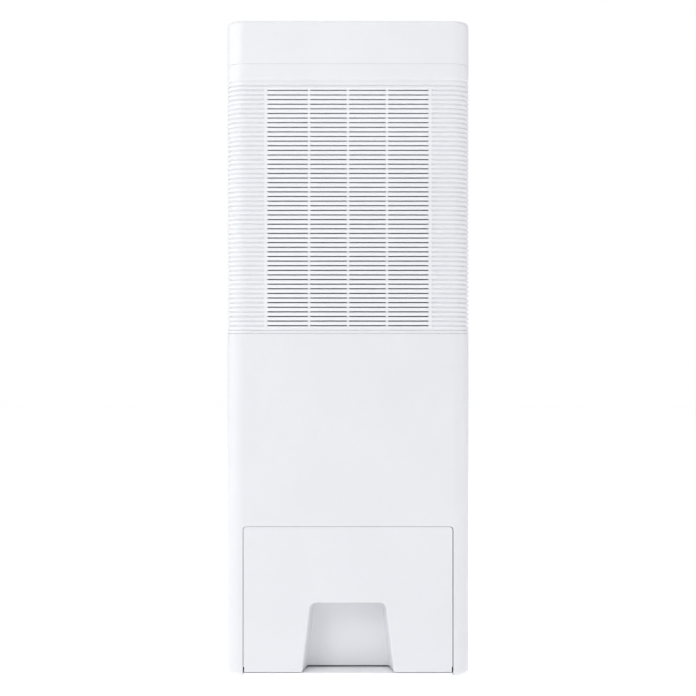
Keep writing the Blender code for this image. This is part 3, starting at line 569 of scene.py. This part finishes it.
def fade(distance):
    """A groove's round end: nothing outside it, and full depth a little way in."""
    if distance <= 0:
        return 0
    return math.sqrt(max(1 - (1 - min(distance / GROOVE_END, 1)) ** 2, 0))


def with_edges(rows, low, high):
    """The rows between two heights, with closer ones at both ends for their rounded edges."""
    clear = 0.6
    inside = [(z, d) for z, d in rows if low + clear < z < high - clear]
    foot, top = [(low + s, 0) for s in EDGE_STEPS], [(high - s, 0) for s in reversed(EDGE_STEPS)]
    return [*foot, *inside, *top]


def stations(points):
    """Points along a path with the outward normal of each. The path's outside is on its right."""
    found = []
    for i, (x, y) in enumerate(points):
        ax, ay = points[max(i - 1, 0)]
        bx, by = points[min(i + 1, len(points) - 1)]
        length = math.hypot(bx - ax, by - ay)
        found.append((x, y, (by - ay) / length, -(bx - ax) / length))
    return found


def band_mesh(name, path, rows, depth_at, opening=None):
    """A wall whose outside is grooved.

    path has stations (x, y, nx, ny), and rows has (height, groove depth). depth_at gives how deep
    the outside is at a station, a height and a groove's depth. opening says whether a point lies in
    the wall's opening.
    """
    wide, tall = len(path), len(rows)
    verts, faces = [], []
    for inner in (False, True):
        for z, groove in rows:
            for x, y, nx, ny in path:
                depth = WALL if inner else depth_at((x, y, nx, ny), z, groove)
                verts.append(((x - nx * depth) * MM, (y - ny * depth) * MM, z * MM))
    solid = set()
    for j in range(tall - 1):
        z = (rows[j][0] + rows[j + 1][0]) / 2
        for i in range(wide - 1):
            x, y = (path[i][0] + path[i + 1][0]) / 2, (path[i][1] + path[i + 1][1]) / 2
            if not (opening and opening(x, y, z)):
                solid.add((i, j))
    layer = wide * tall
    for i, j in solid:
        a = j * wide + i
        b, c, d = a + 1, a + 1 + wide, a + wide
        faces.append((a, b, c, d))
        faces.append((d + layer, c + layer, b + layer, a + layer))
        beside = {(i, j - 1): (b, a), (i + 1, j): (c, b), (i, j + 1): (d, c), (i - 1, j): (a, d)}
        for cell, (p, q) in beside.items():
            if cell not in solid:
                faces.append((p, q, q + layer, p + layer))
    mesh = bpy.data.meshes.new(name)
    mesh.from_pydata(verts, [], faces)
    bm = bmesh.new()
    bm.from_mesh(mesh)
    bmesh.ops.delete(bm, geom=[v for v in bm.verts if not v.link_faces], context="VERTS")
    bmesh.ops.recalc_face_normals(bm, faces=bm.faces)
    return finished(bm, mesh, 62)


def intake_path(side_end):
    """The cover's stations from its left end to its right, with exact normals on straight runs."""
    left = [(-OUT, side_end - n) for n in (*EDGE_STEPS, 8)]
    left += arc(-CORNER_AT, -CORNER_AT, CORNER, 180, 270, 14)
    at_grooves = [SIDE_GROOVE + n for n in (1.4, 0.9, 0.5, 0.2, 0, -0.6)]
    at_window = [WINDOW + n for n in (0.9, 0.45, 0.22, 0.08, 0)]
    left += [(-x, -OUT) for x in (97, 90, *at_grooves, *at_window)]
    middle = [(x, -OUT) for x in (-60, -39, -20, 0, 20, 39, 60)]
    path = []
    for x, y, nx, ny in stations([*left, *middle, *mirror(left)]):
        if abs(x) >= OUT - 0.001 and y > -CORNER_AT + 0.001:
            nx, ny = math.copysign(1, x), 0
        elif y <= -OUT + 0.001 and abs(x) < CORNER_AT - 0.001:
            nx, ny = 0, -1
        path.append((x, y, nx, ny))
    return path


def intake_cover():
    low, high = limits("intake_cover")
    foot, side_end = low[2], high[1]

    def depth_at(station, z, groove):
        """The grooves are shallow across the front, and deepen round the corners."""
        x, y, _, ny = station
        depth = groove * (1 - 0.3 * abs(ny))
        if LOW_SLATS - 0.5 <= z <= TOP_SLATS and y < -CORNER_AT:
            depth *= fade(abs(x) - SIDE_GROOVE)
        if abs(x) > OUT - 1:
            depth += edge_round(side_end - y)
        return depth + edge_round(min(z - foot, CAP - z))

    def opening(x, y, z):
        return abs(x) < WINDOW and LOW_SLATS < z < TOP_SLATS and y < -100

    rows = sorted({*with_edges(groove_rows(), foot, CAP), (LOW_SLATS, 0), (TOP_SLATS, 0)})
    shell = band_mesh("intake_shell", intake_path(side_end), rows, depth_at, opening)
    levelled(piece("intake_shell", shell, "intake_cover", mat=COVER_WHITE_PAINTED_LIGHT))

    slats = Shape()
    back, half = -OUT + SLAT_DEPTH, (PITCH - SLOT) / 2
    under = [(back, 0.3), (-OUT + 0.9, 0.02), (-OUT + 0.4, 0.08), (-OUT + 0.1, 0.26), (-OUT, 0.55)]
    section = [(y, n - half) for y, n in under] + [(y, half - n) for y, n in reversed(under)]
    for row in range(ROWS + 1):
        z = TOP_SLATS - row * PITCH
        step = 0.06 if row in (0, ROWS) else 0  # keeps the end slats' faces off the shell's
        slats.loft([[(x, y + step, z + dz) for y, dz in section] for x in (-WINDOW, WINDOW)])
    right = [(0.8, -OUT + 0.8), (1.25, -OUT + 1.3), (1.05, back - 0.4)]
    for middle in STRUTS:
        outline = [(middle + x, y) for x, y in [*right, *mirror(right)]]
        slats.loft([lifted(outline, z, Z) for z in (LOW_SLATS, TOP_SLATS)])
    piece("intake_slats", shaded(slats.mesh("intake_slats"), 50), "intake_cover", mat=SLAT_PAINTED_LIGHT)


def side_bands(name, node, start, end, groove_end=None):
    """The ribbed upper walls on both sides of the tower, from one Y to another."""
    ys = {*[start + s for s in EDGE_STEPS], *[end - s for s in EDGE_STEPS]}
    if groove_end is not None:
        ys |= {groove_end + n for n in (-2, -1.4, -0.9, -0.5, -0.2, 0, 2)}
    rows = sorted(set(with_edges(groove_rows(), BAND, CAP)))

    def depth_at(station, z, groove):
        y = station[1]
        cut = groove * (fade(groove_end - y) if groove_end is not None else 1)
        return cut + edge_round(min(z - BAND, CAP - z)) + edge_round(min(y - start, end - y))

    for side, word in ((-1, "left"), (1, "right")):
        path = [(side * OUT, y, side, 0) for y in sorted(ys, reverse=side > 0)]
        levelled(piece(f"{name}_{word}", band_mesh(f"{name}_{word}", path, rows, depth_at), node))


# ---------------------------------------------------------------- the housings


FOOT_R = 5.0  # how far the walls' foot is rounded inwards
PANEL_GAP = 0.7  # round the front panel, and INLET_GAP round the power inlet
INLET_GAP = 0.3


def half_wall(face, open_end):
    """Half of the tower's plain wall: a U, open towards the other half, with its foot rounded."""
    sign = math.copysign(1, face)

    def outline(inset):
        turn = arc(CORNER_AT, CORNER_AT, CORNER - inset, 0, 90, 16)
        right = [(OUT - inset, open_end), *[(u, sign * v) for u, v in turn]]
        return right + mirror(right)

    heights = []
    for degrees in (12, 25, 40, 55, 72, 90):
        a = math.radians(degrees)
        heights.append((SKIRT + FOOT_R * (1 - math.cos(a)), FOOT_R * (1 - math.sin(a))))
    rings = []
    for z, inset in (*heights, (BAND, 0)):
        rings.append(lifted(outline(inset) + outline(inset + WALL)[::-1], z, Z))
    return Shape().loft(rings)


def rear_housing():
    end = limits("rear_housing")[1][1]
    panel_low, panel_high = limits("tank_front")
    left_gap, right_gap, top_gap = 0.5, 0.7, 0.25
    edge_x, edge_z = panel_high[0] + right_gap, panel_high[2] + top_gap
    opening = pillow((panel_low[0] - left_gap, -FAR, -50), (edge_x, -100, edge_z), 3.6, Y)

    def opening_rim(m, a, b):
        return m.y < -OUT + 0.3 and abs(m.x) < edge_x + 0.2 and 2 < m.z < edge_z + 0.2

    mesh = carved("rear_wall", half_wall(-OUT, end), [opening], [
        (opening_rim, 0.45, 3),
        (flat_at(Z, BAND), 0.2, 2),
        (flat_at(Y, end), 0.35, 2),
    ])
    levelled(piece("rear_wall", mesh, "rear_housing"))
    side_bands("rear_band", "rear_housing", limits("intake_cover")[1][1] + 0.6, end)


def front_housing():
    end = limits("front_housing")[0][1]
    low, high = limits("power_inlet")
    inlet = pillow((-FAR, low[1] - INLET_GAP, low[2] - INLET_GAP),
                   (-90, high[1] + INLET_GAP, high[2] + INLET_GAP), 3, X, steps=5)
    low, high = limits("front_panel")
    recess = pillow((low[0] - PANEL_GAP, low[1] - 0.3, low[2] - PANEL_GAP),
                    (high[0] + PANEL_GAP, FAR, high[2] + PANEL_GAP), 6 + PANEL_GAP, Y)
    panel = pillow(low, high, 6, Y, 0, 0.7, 10)

    def panel_rim(m, a, b):
        return m.y > OUT - 0.2 and abs(m.x) < 100 and m.z > 15

    def inlet_rim(m, a, b):
        return m.x < -OUT + 0.2 and 20 < m.z < 60

    mesh = carved("front_wall", half_wall(OUT, end), [recess, inlet], [
        (panel_rim, 0.4, 3),
        (inlet_rim, 0.4, 2),
        (flat_at(Y, end), 0.35, 2),
    ])
    levelled(piece("front_wall", mesh, "front_housing"))
    side_bands("front_band", "front_housing", end, BAND_FRONT, GROOVE_FRONT)

    outlines = []
    for inset in (0, WALL):
        right = [(OUT - inset, BAND_FRONT), *arc(CORNER_AT, CORNER_AT, CORNER - inset, 0, 90, 16)]
        outlines.append(right + mirror(right))
    upper = Shape().loft([lifted(outlines[0] + outlines[1][::-1], z, Z) for z in (BAND, CAP)])
    rounds = [(panel_rim, 0.4, 3), (flat_at(Z, CAP), 0.4, 2)]
    mesh = carved("front_corners", upper, [recess], rounds)
    levelled(piece("front_corners", mesh, "front_housing"))
    levelled(piece("front_panel_skin", panel.mesh("front_panel_skin", 0.001), "front_panel"))


# ---------------------------------------------------------------- cap and top


BUTTONS = ("power_button", "mode_button", "fan_speed_button", "timer_button")
BUTTON_HOLE_R = 6.5
THROUGH_LOW, THROUGH_HIGH = 640, 700  # the heights of what cuts right through the cap's top
CONTROLS_GAP = 0.6
OUTLET_LOW, OUTLET_HIGH = (-78.3, -36.6), (78.3, 37.2)  # the flap's opening, in X and Y
HAND_HALF = 42  # half the length of the hand holes in the cap's sides
HAND_LOW, HAND_HIGH = 619, 637


def cap():
    low, high = limits("top_cover")
    body = pillow((low[0], low[1], CAP + SEAM), high, CORNER, Z, 0.15, 3.6, 16, 6)
    hollow = pillow((low[0] + WALL, low[1] + WALL, low[2] - 20),
                    (high[0] - WALL, high[1] - WALL, TOP - WALL), CORNER - WALL, Z, 0, 1.5, 12, 3)
    outlet = pillow((*OUTLET_LOW, THROUGH_LOW), (*OUTLET_HIGH, THROUGH_HIGH), 1.6, steps=4)
    low, high = limits("control_panel")
    panel = pillow((low[0] - CONTROLS_GAP, low[1] - CONTROLS_GAP, TOP - 1.4),
                   (high[0] + CONTROLS_GAP, high[1] + CONTROLS_GAP, THROUGH_HIGH), 5, steps=6)
    cutters = [hollow, outlet, panel]
    for name in BUTTONS:
        x, y = middle_of(name)[:2]
        cutters.append(disc(x, y, BUTTON_HOLE_R, THROUGH_LOW, THROUGH_HIGH))
    for inner, outer in ((-FAR, -97), (97, FAR)):
        cutters.append(pillow((inner, -HAND_HALF, HAND_LOW), (outer, HAND_HALF, HAND_HIGH), 6, X))

    def outlet_rim(m, a, b):
        return abs(m.z - TOP) < 0.1 and abs(m.x) < 79 and m.y < 45

    def panel_rim(m, a, b):
        return abs(m.z - TOP) < 0.1 and m.y > 45

    def hand_rim(m, a, b):
        return abs(m.x) > OUT - 0.2 and HAND_LOW - 2 < m.z < HAND_HIGH + 3

    rounds = [(outlet_rim, 0.8, 3), (panel_rim, 0.4, 2), (hand_rim, 1.6, 4)]
    mesh = carved("cap_shell", body, cutters, rounds)
    levelled(piece("cap_shell", mesh, "top_cover", mat=CAP_WHITE_PAINTED_LIGHT))


# ---------------------------------------------------------------- tank and base


GRIP_TOP = 74.5  # the finger recess, as it shows on the tank's face
GRIP_FOOT_HALF = 46.1  # half its width at GRIP_FOOT_Z
GRIP_FOOT_Z = 5.2
GRIP_FLARE = 0.124  # how much wider each side gets for each millimetre down
GRIP_CORNER = 6.5
GRIP_BACK = 10  # how thick the recess is at its back
GRIP_SKIN = 2  # and at its sides and top
GRIP_SKIN_FOOT = 1.2  # where that skin starts, above the foot of the panel
GRIP_FILLET = 2.5  # between its sides and its back
GRIP_LEAN = 0.03  # how much shallower it gets for each millimetre down
GRIP_DRAFT = 0.0038  # how much its sides close in for each millimetre of depth
PANEL_CORNER = 3.3
NOTCH, NOTCH_TOP = 0.8, 5.0  # the panel is narrower at its foot, which shows as a dark notch


def grip_outline(grow, foot_z):
    """The finger recess: narrower at the top, with two round corners, and open at its foot."""
    top, half, r = GRIP_TOP + grow, GRIP_FOOT_HALF + grow, GRIP_CORNER + grow
    low_half = half + GRIP_FLARE * (GRIP_FOOT_Z - foot_z)
    shoulder = half - GRIP_FLARE * (top - r - GRIP_FOOT_Z)
    right = arc(shoulder - r, top - r, r, 0, 90, 8)
    return [(-low_half, foot_z), (low_half, foot_z), *right, *mirror(right)]


def grip_hollow(face, floor_y):
    """The space inside the recess, from before the tank's face to a back with a fillet round it."""
    before, under = -140, -20
    stages = [(before, 0), (face + 3, 0)]
    for i in range(7):
        a = math.pi / 2 * i / 6
        stages.append((floor_y - GRIP_FILLET * (1 - math.sin(a)), -GRIP_FILLET * (1 - math.cos(a))))
    rings = []
    for y, grow in stages:
        lean = GRIP_LEAN if y > face + 4 else 0
        narrower = 1 - GRIP_DRAFT * (y - face)
        outline = grip_outline(grow, under)
        rings.append([(u * narrower, y - lean * (GRIP_TOP - v), v) for u, v in outline])
    return Shape().loft(rings)


def tank_front():
    low, high = limits("tank_front")
    face, back, foot, side = -OUT, high[1], low[2], high[0]
    notch = ((-NOTCH, 0), (-NOTCH, NOTCH_TOP - 0.6), (0.25 - NOTCH, NOTCH_TOP),
             (0, NOTCH_TOP + 0.1))
    right = [(side + u, foot + v) for u, v in notch]
    right += arc(side - PANEL_CORNER, high[2] - PANEL_CORNER, PANEL_CORNER, 0, 90, 8)
    plate = Shape().loft([lifted([*right, *mirror(right)], y, Y) for y in (face, face + WALL)])
    skin = grip_outline(GRIP_SKIN, foot + GRIP_SKIN_FOOT)
    pocket = Shape().loft([lifted(skin, y, Y) for y in (face + 1, back)])

    def grip_rim(m, a, b):
        return abs(m.y - face) < 0.1 and abs(m.x) < 48 and foot + 0.1 < m.z < 76

    def panel_rim(m, a, b):
        return abs(m.y - face) < 0.1 and (abs(m.x) > 100 or m.z > 140)

    def foot_edges(m, a, b):
        return abs(m.z - foot) < 0.1 and abs(a.z - b.z) < 0.05 and m.y > face + 1

    rounds = [(grip_rim, 2.4, 6), (panel_rim, 0.7, 3), (foot_edges, 0.5, 2)]
    mesh = carved("tank_face", plate, [grip_hollow(face, back - GRIP_BACK)], rounds, [pocket])
    levelled(piece("tank_face", mesh, "tank_front"))


FOOT_AT = 104  # how far out the feet are
FOOT_HOLE_R = 3.3
VENT_STEP, VENT_HALF = 12, 3  # the slots in the floor


def base_pan():
    """The floor of the tower, with the sill that shows under the tank's recess, in a much lighter
    white that is painted light.
    """
    low, high = limits("base_pan")
    inset = 1.9
    pan = pillow((low[0] + inset, -117.3, low[2]), (high[0] - inset, high[1] - inset, high[2]),
                 CORNER - 4.6, Z, 1.6, 0.3, 12)
    panel = limits("tank_front")[1][0]
    sill = pillow((-panel, -OUT, SKIRT), (panel, -100, high[2]), 0.5, Z, 0.9, 0.7, 3)
    under, over = -1, 10
    holes = []
    for x in (-FOOT_AT, FOOT_AT):
        holes += [disc(x, y, FOOT_HOLE_R, under, over, 24) for y in (-FOOT_AT, FOOT_AT)]
    for i in range(-4, 5):
        x = i * VENT_STEP
        holes.append(pillow((x - VENT_HALF, 20, under), (x + VENT_HALF, 70, over), 2.9, steps=5))
    mesh = carved("base_floor", pan, holes, joined=[sill])
    # The floor and sill take the much lighter white, which is painted light.
    levelled(piece("base_floor", shaded(mesh, 40), "base_pan", slot="white_shell", mat=SILL_PAINTED_LIGHT))


# ---------------------------------------------------------------- controls


PRINT = 0.04  # how far print stands proud
ICON_R = 2.6
ICON_LINE = 0.5
DIGIT_AT = 4.4  # how far from the window's middle the digits are
DIGIT_HALF_WIDE, DIGIT_HALF_TALL = 2.6, 5.2
FIVE, ZERO = (0, 5, 6, 2, 3), (0, 1, 2, 3, 4, 5)


def printed(name, node, outlines, mat):
    """Flat marks on a button or a window, for a reader in front: u goes right, and v away."""
    x, y = middle_of(node)[:2]
    top = limits(node)[1][2]
    shape = Shape()
    for outline in outlines:
        turned = [(x - u, y - v) for u, v in outline]
        shape.loft([lifted(turned, z, Z) for z in (top - PRINT, top + PRINT)])
    piece(name, shape.mesh(name), node, slot="dark_gloss", mat=mat, hide=False)


def ring_part(start, end, steps):
    return arc(0, 0, ICON_R, start, end, steps) + arc(0, 0, ICON_R - ICON_LINE, end, start, steps)


def petal(turn):
    """One blade of the fan icon, which leans forwards."""
    cos, sin = math.cos(math.radians(turn)), math.sin(math.radians(turn))
    outline = []
    for i in range(16):
        t = math.tau * i / 16
        along, across = 1.6 + 1.05 * math.cos(t), 0.62 * math.sin(t) + 0.35 * math.cos(t)
        outline.append((along * cos - across * sin, along * sin + across * cos))
    return outline


def segment(start, end):
    """One bar of a digit, pointed at both ends."""
    half, gap = 0.55, 0.14
    (u0, v0), (u1, v1) = start, end
    length = math.hypot(u1 - u0, v1 - v0)
    du, dv = (u1 - u0) / length, (v1 - v0) / length
    points = [(gap, 0), (gap + half, half), (length - gap - half, half), (length - gap, 0),
              (length - gap - half, -half), (gap + half, -half)]
    return [(u0 + du * p - dv * q, v0 + dv * p + du * q) for p, q in points]


def digit(middle, bars):
    """A digit from its lit bars: 0 top, 1-2 right, 3 foot, 4-5 left, 6 middle."""
    left, right = middle - DIGIT_HALF_WIDE, middle + DIGIT_HALF_WIDE
    top, foot = DIGIT_HALF_TALL, -DIGIT_HALF_TALL
    ends = [((left, top), (right, top)), ((right, 0), (right, top)), ((right, foot), (right, 0)),
            ((left, foot), (right, foot)), ((left, foot), (left, 0)), ((left, 0), (left, top)),
            ((left, 0), (right, 0))]
    return [segment(*ends[bar]) for bar in bars]


def controls():
    """Generic icons on the four buttons, and a humidity of 50 in the window."""
    bar = [(-0.25, 0.5), (0.25, 0.5), (0.25, 2.9), (-0.25, 2.9)]
    drop = [*arc(0, -0.6, 1.9, 152, 388, 20), (0, 2.9)]
    hub = arc(0, 0, 0.38, 0, 340, 12)
    hands = [(-0.22, -0.22), (1.3, -0.22), (1.3, 0.22), (0.22, 0.22), (0.22, 1.6), (-0.22, 1.6)]
    printed("power_icon", "power_button", [ring_part(125, 415, 28), bar], INK)
    printed("drop_icon", "mode_button", [drop], INK)
    printed("fan_icon", "fan_speed_button", [petal(90), petal(210), petal(330), hub], INK)
    printed("clock_icon", "timer_button", [ring_part(0, 359.9, 36), hands], INK)
    fifty = digit(-DIGIT_AT, FIVE) + digit(DIGIT_AT, ZERO)
    printed("humidity_digits", "display_window", fifty, GLOW)


# ---------------------------------------------------------------- coils, inlet and tank marks


COILS = ("evaporator_coil", "condenser_coil")
FIN_STEP = 2.0
FIN_HALF = 0.13
TUBE_ROWS, TUBE_STEP = 9, 25
FIRST_TUBE = 21.5  # the lowest tubes, above the coil's foot
TUBE_R = 3.2
BEND_STEPS = 14
BRACKET_PLATE = 1.4
MARKS = (20, 36, 52, 68, 84)  # the heights of the tank's level marks
MARK_START = -40


def tube_heights(low_z):
    return [low_z + FIRST_TUBE + TUBE_STEP * i for i in range(TUBE_ROWS)]


def tube_columns(node):
    """Where a coil's two columns of tubes lie, from its rear to its front."""
    low, high = limits(node)
    middle, apart = (low[1] + high[1]) / 2, (high[1] - low[1]) / 4
    return middle - apart, middle + apart


def coil(node):
    """Thin fins with chamfered corners between two end plates, and the tubes through them."""
    (x0, y0, z0), (x1, y1, z1) = limits(node)
    cut = 0.8
    outline = [(y0 + cut, z0), (y1 - cut, z0), (y1, z0 + cut), (y1, z1 - cut),
               (y1 - cut, z1), (y0 + cut, z1), (y0, z1 - cut), (y0, z0 + cut)]
    fins = Shape()
    count = int((x1 - 1) / FIN_STEP)
    for i in range(-count, count + 1):
        fins.loft([lifted(outline, i * FIN_STEP + side * FIN_HALF, X) for side in (-1, 1)])
    for side in (-1, 1):
        fins.loft([lifted(outline, side * (x1 - depth), X) for depth in (0.5, 0)])
    piece(node + "_fins", shaded(fins.mesh(node + "_fins"), 30), node)
    tubes = Shape()
    for y in tube_columns(node):
        for z in tube_heights(z0):
            tubes.loft([lifted(circle(y, z, TUBE_R, 12), x, X) for x in (x0 + 0.1, x1 - 0.1)])
    piece(node + "_tubes", shaded(tubes.mesh(node + "_tubes"), 50), node, slot="copper")


def return_bend(side, start, reach, y, low_z, high_z):
    """The rings of a tube that leaves one hole and turns back into the next, on half an ellipse."""
    middle, half = (low_z + high_z) / 2, (high_z - low_z) / 2
    rings = []
    for i in range(BEND_STEPS + 1):
        a = math.radians(-90 + 180 * i / BEND_STEPS)
        x, z = start + side * reach * math.cos(a), middle + half * math.sin(a)
        out_x, out_z = side * math.cos(a) / reach, math.sin(a) / half
        length = math.hypot(out_x, out_z)
        rings.append([(x + u * out_x / length, y + v, z + u * out_z / length)
                      for u, v in circle(0, 0, TUBE_R, 12)])
    return rings


def coil_bracket(node, side, first):
    """An end plate, and the return bends outside it. first is the lowest tube that has one."""
    low, high = limits(node)
    inner, outer = (low[0], high[0]) if side > 0 else (high[0], low[0])
    x0, x1 = sorted((inner, inner + side * BRACKET_PLATE))
    plate = pillow((x0, low[1], low[2]), (x1, high[1], high[2]), 2.5, X, 0.3, 0.3, 5, 3)
    levelled(piece(node + "_plate", plate.mesh(node + "_plate", 0.001), node))
    start = inner + side * (BRACKET_PLATE - 0.2)
    reach = abs(outer - start) - TUBE_R - 0.1
    heights = tube_heights(limits("evaporator_coil")[0][2])
    bends = Shape()
    for coil_node in COILS:
        for y in tube_columns(coil_node):
            for low_z, high_z in zip(heights[first::2], heights[first + 1::2]):
                bends.loft(return_bend(side, start, reach, y, low_z, high_z))
    piece(node + "_bends", shaded(bends.mesh(node + "_bends"), 60), node, slot="copper")


def inlet_pins():
    """Two round contacts with blunt tips."""
    _, y, z = middle_of("power_inlet")
    profile = ((-116, 0.7), (-115.7, 1.1), (-115.2, 1.25), (-107.5, 1.25))
    pins = Shape()
    for apart in (-4, 4):
        pins.loft([lifted(arc(y + apart, z, r, 0, 345, 15), x, X) for x, r in profile])
    mesh = shaded(pins.mesh("inlet_contacts"), 50)
    piece("inlet_contacts", mesh, "power_inlet", slot="zinc_steel", hide=False)


def level_marks():
    """Water level marks on both sides of the tank: short lines, and a long one with an arrow."""
    low, high = limits("tank_bucket")
    full, half = MARKS[-1], 0.45
    outlines = []
    for z in MARKS:
        end = MARK_START + (30 if z == full else 12)
        outlines.append(rounded_rect((MARK_START, z - half), (end, z + half), 0.4, 3))
    outlines.append([(-7, full), (-3, full - 2.4), (-3, full + 2.4)])
    for name, face in (("level_marks_left", low[0]), ("level_marks_right", high[0])):
        marks = Shape()
        for outline in outlines:
            marks.loft([lifted(outline, x, X) for x in (face - PRINT, face + PRINT)])
        piece(name, marks.mesh(name), "tank_bucket", slot="dark_gloss", mat=INK, hide=False)


# ---------------------------------------------------------------- camera, light and floor


EYE_HEIGHT = 0.3293  # in metres, like the next two
EYE_DISTANCE = 1.3  # from the tower's face
VIEW_WIDTH = 0.696  # how much of the face's plane fills the picture
SENSOR = 36  # the width of the camera's sensor, in millimetres
BACKDROP = 0.50  # how strongly the white backdrop lights the object
# Each light's place, what it is aimed at and its size, all in metres, and its watts.
LIGHTS = {
    "key": ((-1.35, -1.5, 1.35), (0, 0, 0.35), (0.8, 1.0), 13),
    "left": ((-2.2, -0.3, 0.7), (0, 0, 0.33), (0.9, 1.6), 8),
    "right": ((2.2, -0.5, 0.7), (0, 0, 0.33), (0.9, 1.6), 8),
    "high": ((0.3, -2.2, 2.8), (0, 0, 0.2), (1.0, 1.0), 8),
    "top": ((0, -0.1, 2.3), (0, 0, 0.4), (1.4, 1.4), 8),
}


def camera():
    scene = bpy.context.scene
    made = bpy.data.objects.new("camera", bpy.data.cameras.new("camera"))
    scene.collection.objects.link(made)
    scene.camera = made
    made.location = (0, -OUT * MM - EYE_DISTANCE, EYE_HEIGHT)
    made.rotation_euler = (math.pi / 2, 0, 0)
    made.data.sensor_width = SENSOR
    made.data.lens = SENSOR * EYE_DISTANCE / VIEW_WIDTH
    made.data.clip_start, made.data.clip_end = 0.05, 50


def backdrop():
    """A plain white world, which lights the object less than it shows."""
    world = bpy.data.worlds.new("studio")
    bpy.context.scene.world = world
    world.use_nodes = True
    tree = world.node_tree
    background = tree.nodes["Background"]
    background.inputs["Color"].default_value = (1, 1, 1, 1)
    seen = tree.nodes.new("ShaderNodeLightPath").outputs["Is Camera Ray"]
    strength = tree.nodes.new("ShaderNodeMapRange")
    strength.inputs["To Min"].default_value = BACKDROP
    strength.inputs["To Max"].default_value = 1.0
    tree.links.new(seen, strength.inputs["Value"])
    tree.links.new(strength.outputs["Result"], background.inputs["Strength"])


def lights():
    for name, (at, target, size, watts) in LIGHTS.items():
        light = bpy.data.lights.new(name, "AREA")
        light.shape = "RECTANGLE"
        light.size, light.size_y = size
        light.energy = watts
        made = bpy.data.objects.new(name, light)
        made.location = at
        made.rotation_euler = (Vector(target) - made.location).to_track_quat("-Z", "Y").to_euler()
        bpy.context.scene.collection.objects.link(made)


def floor():
    mesh = pillow((-6000, -6000, -12), (6000, 6000, 0), 800, Z, 2, 2, 12, 2).mesh("floor")
    ground = bpy.data.objects.new("floor", mesh)
    bpy.context.scene.collection.objects.link(ground)
    shader = Shader("pale_floor", (0.93, 0.93, 0.935), 0.6,
                    Emission_Color=(1, 1, 1, 1), Emission_Strength=0.53)
    shader.cloud(260, (0.90, 0.90, 0.905), 0.6).roughness(40, 0.05).grain(2, 0.01)
    mesh.materials.append(shader.mat)


intake_cover()
rear_housing()
front_housing()
cap()
tank_front()
base_pan()
for coil_name in COILS:
    coil(coil_name)
coil_bracket("coil_bracket_left", -1, 1)
coil_bracket("coil_bracket_right", 1, 0)
made_anew = {"intake_cover", "rear_housing", "front_housing", "front_panel", "top_cover",
             "tank_front", "base_pan", *COILS, "coil_bracket_left", "coil_bracket_right"}
for node_name in frame["nodes"]:
    if node_name not in made_anew:
        softened(node_name)
controls()
inlet_pins()
level_marks()
bpy.context.scene.view_settings.view_transform = "Standard"
camera()
backdrop()
lights()
floor()
